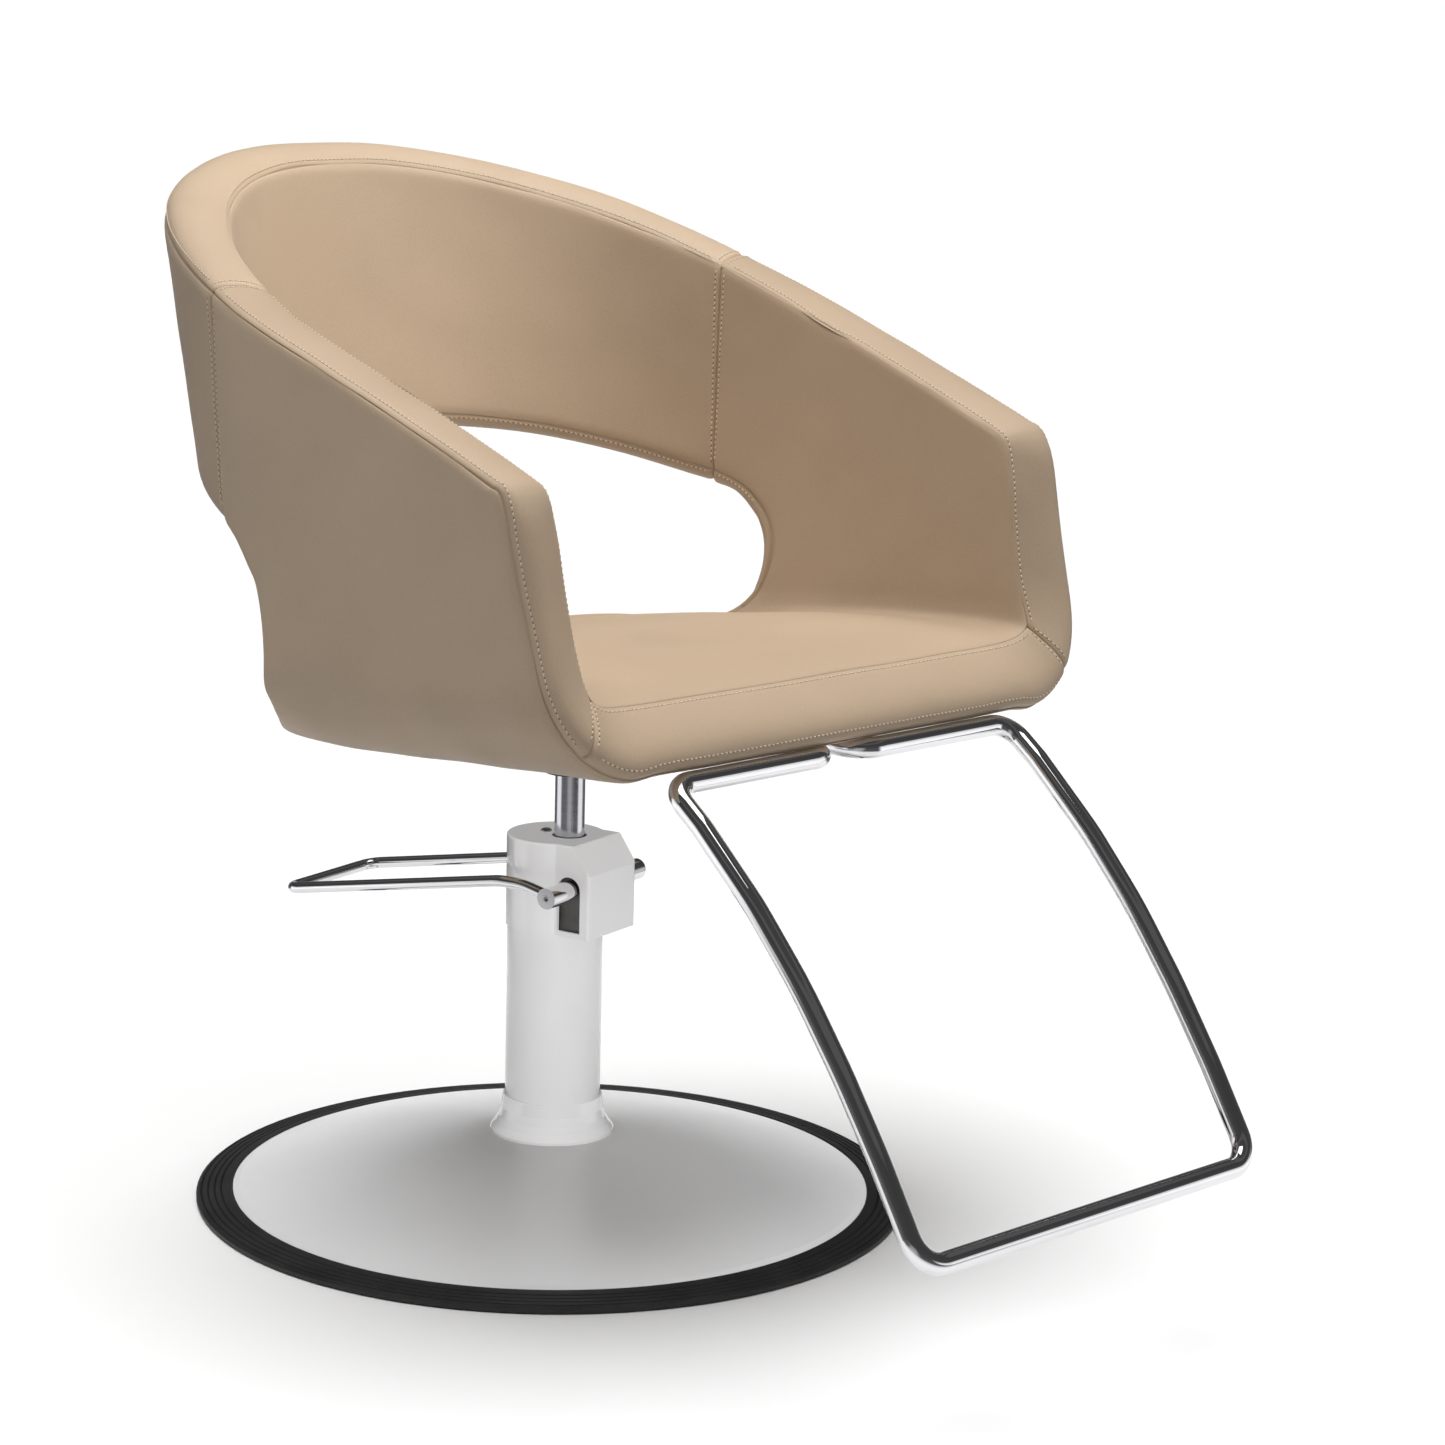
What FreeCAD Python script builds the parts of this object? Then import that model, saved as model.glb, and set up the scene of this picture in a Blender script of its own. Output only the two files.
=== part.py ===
import FreeCAD, Part
import Sketcher
import math
import os

# Hydraulic salon styling chair: round weighted base, eccentric hydraulic pump
# column with a foot lever, sliding and swivelling piston, upholstered tub seat
# with an open lower back, and a bent-tube footrest loop.
# Origin: on the floor, under the piston axis.  +Z up, the sitter faces -Y,
# +X is the sitter's left.  Millimetres.

V = FreeCAD.Vector
ROT = FreeCAD.Rotation
PLC = FreeCAD.Placement
doc = FreeCAD.newDocument("StylingChair")

# ---------------------------------------------------------------- dimensions
sheet = doc.addObject("Spreadsheet::Sheet", "Dims")
DIMS = [
    ("base_radius", 305.0, "outside radius of the rubber rim"),
    ("dish_radius", 274.0, "radius of the base plate and of the dish edge"),
    ("plate_thick", 8.0, "base plate thickness"),
    ("dish_land_z", 58.0, "height of the flat land around the column"),
    ("dish_land_radius", 55.0, "outer radius of the land"),
    ("dish_hole_radius", 43.5, "central hole of the dish"),
    ("column_offset", 13.3, "column axis behind the piston axis"),
    ("column_radius", 41.0, "outside radius of the pump jacket"),
    ("column_bore", 38.0, "inside radius of the pump jacket"),
    ("column_top", 241.0, "top of the pump jacket"),
    ("flange_radius", 62.0, "pump foot flange radius"),
    ("flange_thick", 10.0, "pump foot flange thickness"),
    ("bolt_circle", 52.0, "radius of the foot bolt circle"),
    ("cylinder_radius", 20.0, "outside radius of the hydraulic cylinder"),
    ("cylinder_bore", 14.0, "bore radius of the hydraulic cylinder"),
    ("rod_radius", 12.8, "piston rod radius"),
    ("gland_bore", 12.86, "piston rod guide bore radius"),
    ("head_top", 320.0, "top of the pump head cover"),
    ("cover_radius", 42.3, "rear radius of the pump head cover"),
    ("cover_half", 35.0, "half width of the front of the cover"),
    ("cover_front", 45.0, "front of the cover ahead of the piston axis"),
    ("shaft_radius", 9.0, "lever cross shaft radius"),
    ("shaft_bore", 9.05, "bearing bore radius for the cross shaft"),
    ("shaft_half", 68.0, "half length of the cross shaft"),
    ("shaft_y", 24.5, "cross shaft axis ahead of the piston axis"),
    ("shaft_z", 281.0, "cross shaft axis height"),
    ("lever_half", 59.0, "half spacing of the lever arms"),
    ("lever_wire", 5.0, "lever bar radius"),
    ("pump_yaw", 12.5, "turn of the pump about the vertical, degrees"),
    ("seat_under", 455.0, "height of the underside of the seat board"),
    ("board_thick", 15.0, "seat board thickness"),
    ("mount_thick", 6.0, "seat mounting plate thickness"),
    ("hub_radius", 26.0, "seat hub radius"),
    ("hub_bottom", 375.0, "bottom of the seat hub"),
    ("side_inner", 250.0, "inner face of the side upholstery"),
    ("side_thick", 51.0, "thickness of the side upholstery"),
    ("core_thick", 18.0, "plywood thickness in the shell"),
    ("core_inset", 16.5, "padding between the skin and the plywood"),
    ("seam_y", 88.0, "joint plane between side panels and back band"),
    ("tube_radius", 8.5, "footrest tube radius"),
    ("tube_wall", 1.5, "footrest tube wall"),
    ("rail_half", 192.0, "half spacing of the footrest rails"),
    ("tail_half", 17.0, "half spacing of the footrest tails"),
]
D = {}
for i, (alias, value, note) in enumerate(DIMS):
    sheet.set("A%d" % (i + 1), note)
    sheet.set("B%d" % (i + 1), "%s" % value)
    sheet.setAlias("B%d" % (i + 1), alias)
doc.recompute()
# every size used below is read back from the sheet
for alias, _, _ in DIMS:
    D[alias] = float(sheet.get(alias))

NODES = {}


def keep(obj, label, placement=None):
    obj.Label = label
    if placement is not None:
        obj.Placement = placement
    NODES[label] = obj
    return obj


PUMP = PLC(V(0, 0, 0), ROT(V(0, 0, 1), D["pump_yaw"]))


# ------------------------------------------------------------------- helpers
def new_body(name):
    return doc.addObject("PartDesign::Body", name + "_body")


def origin_plane(body, role):
    for f in body.Origin.OriginFeatures:
        if f.Role == role:
            return f
    raise RuntimeError("no plane " + role)


def new_sketch(body, name, role="XY_Plane", off=0.0):
    s = body.newObject("Sketcher::SketchObject", name)
    s.AttachmentSupport = [(origin_plane(body, role), "")]
    s.MapMode = "FlatFace"
    s.AttachmentOffset = PLC(V(0, 0, off), ROT())
    return s


def circle(s, x, y, alias):
    r = D[alias] if isinstance(alias, str) else alias
    g = s.addGeometry(Part.Circle(V(x, y, 0), V(0, 0, 1), r), False)
    k = s.addConstraint(Sketcher.Constraint("Radius", g, r))
    if isinstance(alias, str):
        s.setExpression("Constraints[%d]" % k, "Dims." + alias)
    return g


def poly(s, pts):
    n = len(pts)
    ids = []
    for i in range(n):
        a, b = pts[i], pts[(i + 1) % n]
        ids.append(s.addGeometry(Part.LineSegment(V(a[0], a[1], 0), V(b[0], b[1], 0)), False))
    for i in range(n):
        s.addConstraint(Sketcher.Constraint("Coincident", ids[i], 2, ids[(i + 1) % n], 1))
    return ids


def rounded(pts, radii):
    """Closed outline with each corner replaced by short chords of an arc."""
    out = []
    n = len(pts)
    for i in range(n):
        p0, p, p1 = V(*pts[i - 1], 0), V(*pts[i], 0), V(*pts[(i + 1) % n], 0)
        r = radii[i] if isinstance(radii, (list, tuple)) else radii
        if r <= 0:
            out.append((p.x, p.y))
            continue
        a, b = (p0 - p).normalize(), (p1 - p).normalize()
        ang = a.getAngle(b)
        d = min(r / math.tan(ang / 2), (p0 - p).Length * 0.49, (p1 - p).Length * 0.49)
        r2 = d * math.tan(ang / 2)
        c = p + (a + b).normalize() * (r2 / math.sin(ang / 2))
        q0, q1 = p + a * d, p + b * d
        steps = 6
        v0, v1 = q0 - c, q1 - c
        tot = v0.getAngle(v1)
        for k in range(steps + 1):
            f = k / steps
            w = (v0 * math.sin((1 - f) * tot) + v1 * math.sin(f * tot)) * (1 / math.sin(tot))
            out.append((c.x + w.x, c.y + w.y))
    return out


def pad(body, s, length, name, up=True):
    f = body.newObject("PartDesign::Pad", name)
    f.Profile = s
    if isinstance(length, str):
        f.setExpression("Length", length)
    else:
        f.Length = length
    f.Reversed = not up
    doc.recompute()
    return f


def pocket(body, s, length, name, down=True):
    before = body.Shape.Volume
    f = body.newObject("PartDesign::Pocket", name)
    f.Profile = s
    if isinstance(length, str):
        f.setExpression("Length", length)
    else:
        f.Length = length
    f.Reversed = not down
    doc.recompute()
    if not body.Shape.Volume < before - 1.0:
        raise RuntimeError("pocket %s removed nothing: %s %s %s" % (name, before, body.Shape.Volume, f.State))
    return f


def revolve(body, s, name):
    f = body.newObject("PartDesign::Revolution", name)
    f.Profile = s
    f.ReferenceAxis = (s, ["V_Axis"])
    f.Angle = 360.0
    doc.recompute()
    return f


def groove(body, s, name):
    before = body.Shape.Volume
    f = body.newObject("PartDesign::Groove", name)
    f.Profile = s
    f.ReferenceAxis = (s, ["V_Axis"])
    f.Angle = 360.0
    doc.recompute()
    if not body.Shape.Volume < before - 1.0:
        raise RuntimeError("groove %s removed nothing" % name)
    return f


def at_column():
    """Placement of pieces turned about the column axis."""
    return PUMP.multiply(PLC(V(0, D["column_offset"], 0), ROT()))


# ---------------------------------------------------------------------- base
co = D["column_offset"]
# weighted steel base plate, counterbored from below for the pump bolts
b = new_body("base_plate")
s = new_sketch(b, "plate_disc")
circle(s, 0, 0, "dish_radius")
pad(b, s, "Dims.plate_thick", "plate_pad")
s = new_sketch(b, "plate_bolt_holes", off=D["plate_thick"])
bc = D["bolt_circle"]
for k in range(4):
    a = math.radians(45 + 90 * k)
    circle(s, bc * math.cos(a), bc * math.sin(a), 4.2)
pocket(b, s, 20.0, "plate_holes")
s = new_sketch(b, "plate_cbores", off=5.0)
for k in range(4):
    a = math.radians(45 + 90 * k)
    circle(s, bc * math.cos(a), bc * math.sin(a), 8.5)
pocket(b, s, 10.0, "plate_counterbores")
keep(b, "base_plate", at_column())

# rubber rim with four shallow grooves on top
b = new_body("rubber_rim")
s = new_sketch(b, "rim_section", "XZ_Plane")
R = D["base_radius"]
ri = D["dish_radius"]
prof = [(ri, 0.0), (R - 1.2, 0.0), (R, 1.2), (R, 4.2), (R - 1.6, 5.6)]
x, z = R - 3.5, 6.2
for k in range(4):
    prof += [(x, z), (x - 1.0, z - 1.3), (x - 2.0, z + 0.2)]
    x -= 5.6
    z += 0.75
prof += [(ri + 3.0, 9.6), (ri + 1.0, 9.8), (ri, 9.2)]
poly(s, prof)
revolve(b, s, "rim_revolve")
keep(b, "rubber_rim", at_column())

# spun dish: a shallow dome rising to a flat land round the column
dz, dr, dh = D["dish_land_z"], D["dish_land_radius"], D["dish_hole_radius"]
pt = D["plate_thick"]
outer = [(ri - 0.3, pt), (ri - 0.3, pt + 1.2), (ri - 6, pt + 3.4), (ri - 20, pt + 6.8), (230, 20.2),
         (200, 26.4), (165, 33.4), (130, 40.6), (100, 47.2), (78, 52.4), (64, 56.2), (dr, dz), (dh, dz)]
inner = [(dh, dz - 2.2), (dr - 0.4, dz - 2.2), (63.4, 53.9), (77.4, 50.1), (99.4, 44.9), (129.4, 38.3),
         (164.4, 31.1), (199.4, 24.1), (229.4, 17.9), (ri - 20.6, pt + 4.4), (ri - 7, pt + 1.0), (ri - 9, pt)]
b = new_body("base_dish")
s = new_sketch(b, "dish_section", "XZ_Plane")
poly(s, outer + inner)
revolve(b, s, "dish_revolve")
keep(b, "base_dish", at_column())

# pump foot flange, bolted to the plate inside the dish
ft = pt + D["flange_thick"]
b = new_body("pump_flange")
s = new_sketch(b, "flange_disc", off=pt)
circle(s, 0, 0, "flange_radius")
pad(b, s, "Dims.flange_thick", "flange_pad")
s = new_sketch(b, "flange_spigot", off=ft)
circle(s, 0, 0, 37.9)
pad(b, s, 4.0, "spigot_pad")
s = new_sketch(b, "flange_seat", off=ft + 4.0)
circle(s, 0, -co, "cylinder_radius")
pocket(b, s, 4.0, "cylinder_seat")
s = new_sketch(b, "flange_bolt_holes", off=ft)
for k in range(4):
    a = math.radians(45 + 90 * k)
    circle(s, bc * math.cos(a), bc * math.sin(a), 4.2)
pocket(b, s, 20.0, "flange_holes")
keep(b, "pump_flange", at_column())

# four foot bolts with nuts
def one_bolt(name, head_r, head_h, shank_r, shank_l, up=True, socket=0.0):
    """Round-head bolt: head from z=0 outwards, shank the other way."""
    bb = new_body(name)
    q = new_sketch(bb, name + "_head")
    circle(q, 0, 0, head_r)
    pad(bb, q, head_h, name + "_head_pad", up=not up)
    q = new_sketch(bb, name + "_shank")
    circle(q, 0, 0, shank_r)
    pad(bb, q, shank_l, name + "_shank_pad", up=up)
    if socket > 0:
        q = new_sketch(bb, name + "_socket", off=(-head_h if up else head_h))
        pts = [(socket / math.sqrt(3) * math.cos(math.radians(60 * k)),
                socket / math.sqrt(3) * math.sin(math.radians(60 * k))) for k in range(6)]
        poly(q, pts)
        pocket(bb, q, head_h * 0.6, name + "_hex", down=not up)
    return bb


def compound_of(src_body, places, label):
    """The same fastener repeated: one node made of separate solids."""
    shp = [src_body.Shape.copy() for _ in places]
    for sh, pl in zip(shp, places):
        sh.Placement = pl
    f = doc.addObject("Part::Feature", label + "_set")
    f.Shape = Part.makeCompound(shp)
    return f


proto = one_bolt("foot_bolt", 7.5, 4.4, 4.0, 25.0, up=True, socket=5.0)
places = []
for k in range(4):
    a = math.radians(45 + 90 * k)
    places.append(PLC(V(bc * math.cos(a), bc * math.sin(a), 5.0), ROT()))
f = compound_of(proto, places, "base_bolts")
keep(f, "base_bolts", at_column())

b = new_body("nut")
s = new_sketch(b, "nut_hex")
poly(s, [(7.5 * math.cos(math.radians(60 * k)), 7.5 * math.sin(math.radians(60 * k))) for k in range(6)])
circle(s, 0, 0, 4.0)
pad(b, s, 6.5, "nut_pad")
nut = b
places = []
for k in range(4):
    a = math.radians(45 + 90 * k)
    places.append(PLC(V(bc * math.cos(a), bc * math.sin(a), ft), ROT()))
f = compound_of(nut, places, "base_nuts")
keep(f, "base_nuts", at_column())

# -------------------------------------------------------------------- column
b = new_body("column_jacket")
s = new_sketch(b, "jacket_ring", off=ft)
circle(s, 0, 0, "column_radius")
circle(s, 0, 0, "column_bore")
pad(b, s, "Dims.column_top - Dims.plate_thick - Dims.flange_thick", "jacket_pad")
keep(b, "column_jacket", at_column())

b = new_body("column_collar")
s = new_sketch(b, "collar_section", "XZ_Plane")
poly(s, [(41.2, dz), (53.0, dz), (53.2, dz + 2.2), (52.2, dz + 4.0), (49.4, dz + 8.0), (46.4, dz + 14.0),
         (44.2, dz + 21.0), (43.0, dz + 28.0), (42.4, dz + 32.0), (41.2, dz + 32.0)])
revolve(b, s, "collar_revolve")
keep(b, "column_collar", at_column())

b = new_body("pump_cylinder")
s = new_sketch(b, "cylinder_outer", off=ft)
circle(s, 0, 0, "cylinder_radius")
pad(b, s, 225.0 - ft, "cylinder_pad")
s = new_sketch(b, "cylinder_bore", off=225.0)
circle(s, 0, 0, "cylinder_bore")
pocket(b, s, 225.0 - ft - 6.0, "cylinder_bore_pocket")
keep(b, "pump_cylinder", PUMP)

# pump head casting: plug in the jacket, rod gland, two shaft bearings,
# plunger barrel and a post for the cover screw
sy, sz = -D["shaft_y"], D["shaft_z"]
ct = D["column_top"]
b = new_body("pump_head")
s = new_sketch(b, "head_plug", off=225.0)
circle(s, 0, co, 37.95)
pad(b, s, ct - 225.0, "head_plug_pad")
s = new_sketch(b, "head_flange", off=ct)
circle(s, 0, co, 38.6)
pad(b, s, 5.0, "head_flange_pad")
s = new_sketch(b, "head_tray", off=ct)
poly(s, [(-31, -41), (31, -41), (31, 10), (-31, 10)])
pad(b, s, 5.0, "head_tray_pad")
s = new_sketch(b, "head_gland", off=ct + 4)
circle(s, 0, 0, 17.0)
pad(b, s, 316.0 - ct - 4, "head_gland_pad")
s = new_sketch(b, "head_post", off=ct + 4)
circle(s, 0, 24.0, 6.0)
pad(b, s, 316.5 - ct - 4, "head_post_pad")
s = new_sketch(b, "head_bearing_a", off=ct + 4)
poly(s, [(-31, -37.5), (-15, -37.5), (-15, 0), (-31, 0)])
pad(b, s, 295.8 - ct - 4, "head_bearing_a_pad")
s = new_sketch(b, "head_bearing_b", off=ct + 4)
poly(s, [(1.5, -37.5), (14.0, -37.5), (14.0, -9), (1.5, -9)])
pad(b, s, 295.8 - ct - 4, "head_bearing_b_pad")
s = new_sketch(b, "head_barrel", off=ct + 4)
circle(s, 22.5, -9.0, 6.2)
pad(b, s, 258.0 - ct - 4, "head_barrel_pad")
s = new_sketch(b, "head_rod_bore", off=330.0)
circle(s, 0, 0, "gland_bore")
pocket(b, s, 120.0, "head_rod_bore_pocket")
s = new_sketch(b, "head_plunger_bore", off=258.0)
circle(s, 22.5, -9.0, 4.05)
pocket(b, s, 28.0, "head_plunger_bore_pocket")
s = new_sketch(b, "head_shaft_bore", "YZ_Plane", off=-60.0)
circle(s, sy, sz, "shaft_bore")
pocket(b, s, 120.0, "head_shaft_bore_pocket", down=False)
s = new_sketch(b, "head_screw_hole", off=316.5)
circle(s, 0, 24.0, 2.0)
pocket(b, s, 16.0, "head_screw_hole_pocket")
keep(b, "pump_head_casting", PUMP)

# head cover: round at the back, boxed at the front with a long chamfer
ch, cf, ht = D["cover_half"], D["cover_front"], D["head_top"]
b = new_body("head_cover")
s = new_sketch(b, "cover_round", off=ct)
circle(s, 0, co, "cover_radius")
pad(b, s, "Dims.head_top - Dims.column_top", "cover_round_pad")
s = new_sketch(b, "cover_box", off=ct)
poly(s, rounded([(-ch, -cf), (ch, -cf), (ch, co), (-ch, co)], [2.5, 2.5, 0, 0]))
pad(b, s, "Dims.head_top - Dims.column_top", "cover_box_pad")
s = new_sketch(b, "cover_chamfer", "YZ_Plane", off=-60.0)
poly(s, [(-cf - 5, 296.0 - 7.1), (-cf - 5, ht + 10), (-28.0 + 7.1, ht + 10), (-28.0, ht), (-cf, 296.0)])
pocket(b, s, 120.0, "cover_chamfer_cut", down=False)
top_edges = []
for k, e in enumerate(b.Shape.Edges):
    bb = e.BoundBox
    if abs(bb.ZMin - ht) < 0.01 and abs(bb.ZMax - ht) < 0.01:
        top_edges.append("Edge%d" % (k + 1))
tip = b.Tip
fl = b.newObject("PartDesign::Fillet", "cover_top_round")
fl.Base = (tip, top_edges)
fl.Radius = 1.8
doc.recompute()
print("cover fillet", len(top_edges), fl.State, fl.Shape.Volume)
s = new_sketch(b, "cover_inside_round", off=ct)
circle(s, 0, co, 39.3)
pocket(b, s, 316.5 - ct, "cover_inside_round_cut", down=False)
s = new_sketch(b, "cover_inside_mid", off=ct)
poly(s, [(-32, -25), (32, -25), (32, co), (-32, co)])
pocket(b, s, 316.5 - ct, "cover_inside_mid_cut", down=False)
s = new_sketch(b, "cover_inside_front", off=ct)
poly(s, [(-32, -42), (32, -42), (32, -24), (-32, -24)])
pocket(b, s, 296.0 - ct, "cover_inside_front_cut", down=False)
s = new_sketch(b, "cover_rod_hole", off=ht + 5)
circle(s, 0, 0, 14.8)
pocket(b, s, 20.0, "cover_rod_hole_cut")
s = new_sketch(b, "cover_screw_hole", off=ht + 5)
circle(s, 0, 24.0, 2.3)
pocket(b, s, 20.0, "cover_screw_hole_cut")
s = new_sketch(b, "cover_slots", "YZ_Plane", off=-60.0)
arch = [(sy - 11.5, 245.0), (sy + 11.5, 245.0)]
for k in range(13):
    a = math.pi * k / 12
    arch.append((sy + 11.5 * math.cos(a), sz + 0.5 + 11.5 * math.sin(a)))
poly(s, arch)
pocket(b, s, 120.0, "cover_slots_cut", down=False)
keep(b, "head_cover", PUMP)

b = new_body("cover_screw")
s = new_sketch(b, "screw_section", "XZ_Plane")
poly(s, [(0, 304.0), (2.0, 304.0), (2.0, ht), (4.8, ht), (4.6, ht + 1.0), (3.6, ht + 1.9), (1.8, ht + 2.4), (0, ht + 2.5)])
revolve(b, s, "screw_revolve")
keep(b, "cover_screw", PUMP.multiply(PLC(V(0, 24.0, 0), ROT())))

b = new_body("rod_wiper")
s = new_sketch(b, "wiper_ring", off=316.0)
circle(s, 0, 0, 14.6)
circle(s, 0, 0, 12.88)
pad(b, s, 3.2, "wiper_pad")
keep(b, "rod_wiper", PUMP)

# -------------------------------------------------------------- lever and pump
# tail direction of the lever bar where it enters the shaft
tail = V(0, 22.5, 5.0).normalize()
sh = doc.addObject("Part::Cylinder", "shaft_blank")
sh.setExpression("Radius", "Dims.shaft_radius")
sh.setExpression("Height", "2 * Dims.shaft_half")
sh.Placement = PLC(V(-D["shaft_half"], sy, sz), ROT(V(0, 1, 0), 90))
tools = []
for sgn in (-1, 1):
    c = doc.addObject("Part::Cylinder", "tail_hole")
    c.setExpression("Radius", "Dims.lever_wire")
    c.Height = 30.0
    start = V(sgn * D["lever_half"], sy, sz) - tail * 4.0
    c.Placement = PLC(start, ROT(V(0, 0, 1), tail))
    tools.append(c)
    c = doc.addObject("Part::Cylinder", "end_hole")
    c.Radius = 3.5
    c.Placement = PLC(V(sgn * D["shaft_half"], sy, sz), ROT(V(0, 0, 1), V(-sgn, 0, 0)))
    c.Height = 4.0
    tools.append(c)
fu = doc.addObject("Part::MultiFuse", "shaft_holes")
fu.Shapes = tools
cut = doc.addObject("Part::Cut", "cross_shaft_cut")
cut.Base = sh
cut.Tool = fu
doc.recompute()
keep(cut, "cross_shaft", PUMP)


def fillet_path(points, radii):
    """Open polyline in space with arcs of the given radii at its corners."""
    edges = []
    cur = points[0]
    for i in range(1, len(points) - 1):
        p = points[i]
        a, c = (points[i - 1] - p).normalize(), (points[i + 1] - p).normalize()
        ang = a.getAngle(c)
        d = radii[i - 1] / math.tan(ang / 2)
        q0, q1 = p + a * d, p + c * d
        cen = p + (a + c).normalize() * (radii[i - 1] / math.sin(ang / 2))
        mid = cen + (p - cen).normalize() * radii[i - 1]
        if (q0 - cur).Length > 1e-4:
            edges.append(Part.LineSegment(cur, q0).toShape())
        edges.append(Part.Arc(q0, mid, q1).toShape())
        cur = q1
    edges.append(Part.LineSegment(cur, points[-1]).toShape())
    return Part.Wire(edges)


def sweep_round(path, radius):
    e = path.OrderedEdges[0]
    p0 = e.valueAt(e.FirstParameter)
    t0 = e.tangentAt(e.FirstParameter)
    if (path.OrderedVertexes[0].Point - p0).Length > 1e-3:
        p0 = e.valueAt(e.LastParameter)
        t0 = e.tangentAt(e.LastParameter) * -1
    prof = Part.Wire([Part.makeCircle(radius, p0, t0)])
    return path.makePipeShell([prof], True, False, 1)


# foot lever: one chrome bar bent into a U, its tails set in the shaft
lh = D["lever_half"]
t0 = V(0, sy, sz) - tail * 4.0
side = [V(0, t0.y, t0.z), V(0, 4.0, sz + (4.0 - sy) * 5.0 / 22.5), V(0, 30.0, 286.6), V(0, 258.0, 244.6)]
pts = [V(-lh, p.y, p.z) for p in side] + [V(lh, p.y, p.z) for p in reversed(side)]
lever_path = fillet_path(pts, [60.0, 60.0, 13.0, 13.0, 60.0, 60.0])
bar = sweep_round(lever_path, D["lever_wire"])
f = doc.addObject("Part::Feature", "lever_bar_solid")
f.Shape = bar
print("lever bar volume", bar.Volume, "expected", math.pi * D["lever_wire"] ** 2 * lever_path.Length)
keep(f, "pump_lever", PUMP)

# end screws of the shaft, with hex sockets
b = new_body("shaft_screw")
s = new_sketch(b, "grub", off=0.0)
circle(s, 0, 0, 3.5)
poly(s, [(2.3 * math.cos(math.radians(60 * k)), 2.3 * math.sin(math.radians(60 * k))) for k in range(6)])
pad(b, s, 2.3, "grub_socket_pad")
s = new_sketch(b, "grub_solid", off=2.3)
circle(s, 0, 0, 3.5)
pad(b, s, 1.6, "grub_pad")
hs = D["shaft_half"]
f = compound_of(b, [PLC(V(-hs, sy, sz), ROT(V(0, 0, 1), V(1, 0, 0))), PLC(V(hs, sy, sz), ROT(V(0, 0, 1), V(-1, 0, 0)))], "shaft_screws")
keep(f, "shaft_screws", PUMP)

# crank on the shaft: its nose presses the plunger down
b = new_body("pump_crank")
s = new_sketch(b, "crank_web", "YZ_Plane", off=18.2)
cy, cz = -9.0, sz
out = []
for k in range(19):
    a = math.radians(90 + 180.0 * k / 18)
    out.append((sy + 12.3 * math.cos(a), sz + 12.3 * math.sin(a)))
for k in range(13):
    a = math.radians(-90 + 180.0 * k / 12)
    out.append((cy + 7.0 * math.cos(a), cz + 7.0 * math.sin(a)))
poly(s, out)
circle(s, sy, sz, "shaft_radius")
pad(b, s, 8.6, "crank_pad")
keep(b, "pump_crank", PUMP)

b = new_body("pump_plunger")
s = new_sketch(b, "plunger_section", "XZ_Plane")
poly(s, [(0, 238.0), (4.0, 238.0), (4.0, 269.0), (6.2, 269.0), (6.2, 270.4), (3.0, 270.4), (3.0, 272.2), (1.5, 273.1), (0, 273.9)])
revolve(b, s, "plunger_revolve")
keep(b, "pump_plunger", PUMP.multiply(PLC(V(22.5, -9.0, 0), ROT())))

# return spring round the plunger
hx = Part.makeHelix(2.4, 9.6, 5.1)
hx.Placement = PLC(V(22.5, -9.0, 258.7), ROT())
wire = Part.Wire(hx.Edges)
e0 = wire.Edges[0]
prof = Part.Wire([Part.makeCircle(0.6, e0.valueAt(e0.FirstParameter), e0.tangentAt(e0.FirstParameter))])
spring = wire.makePipeShell([prof], True, True)
f = doc.addObject("Part::Feature", "plunger_spring_solid")
f.Shape = spring
keep(f, "plunger_spring", PUMP)

# -------------------------------------------------------------------- piston
b = new_body("piston_head")
s = new_sketch(b, "piston_section", "XZ_Plane")
poly(s, [(0, 66.0), (13.9, 66.0), (13.9, 73.9), (11.4, 73.9), (11.4, 78.1), (13.9, 78.1), (13.9, 86.0), (6.05, 86.0),
         (6.05, 69.0), (0, 69.0)])
revolve(b, s, "piston_revolve")
keep(b, "piston_head", PUMP)

b = new_body("piston_seal")
s = new_sketch(b, "seal_ring", off=73.9)
circle(s, 0, 0, 13.97)
circle(s, 0, 0, 11.4)
pad(b, s, 4.2, "seal_pad")
keep(b, "piston_seal", PUMP)

b = new_body("piston_rod")
s = new_sketch(b, "rod_section", "XZ_Plane")
rr = D["rod_radius"]
poly(s, [(0, 70.0), (6.0, 70.0), (6.0, 86.1), (rr, 86.1), (rr, 430.0), (rr - 1.5, 432.0), (0, 432.0)])
revolve(b, s, "rod_revolve")
keep(b, "piston_rod", PLC())

# -------------------------------------------------------------- seat mounting
su = D["seat_under"]
mt = D["mount_thick"]
b = new_body("seat_hub")
s = new_sketch(b, "hub_section", "XZ_Plane")
hb, hr = D["hub_bottom"], D["hub_radius"]
poly(s, [(rr, hb), (hr - 4, hb), (hr - 2, hb + 2), (hr - 2, su - mt - 14), (hr + 12, su - mt - 3), (hr + 12, su - mt),
         (0, su - mt), (0, 432.0), (rr - 1.5, 432.0), (rr, 430.0)])
revolve(b, s, "hub_revolve")
keep(b, "seat_hub", PLC())

b = new_body("seat_plate")
s = new_sketch(b, "plate_outline", off=su - mt)
poly(s, rounded([(-110, -90), (110, -90), (110, 90), (-110, 90)], 14.0))
pad(b, s, "Dims.mount_thick", "seat_plate_pad")
s = new_sketch(b, "plate_holes_sk", off=su)
PB = [(-92, -72), (92, -72), (92, 72), (-92, 72)]
for x, y in PB:
    circle(s, x, y, 4.0)
pocket(b, s, 20.0, "seat_plate_holes")
keep(b, "seat_plate", PLC())

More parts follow.
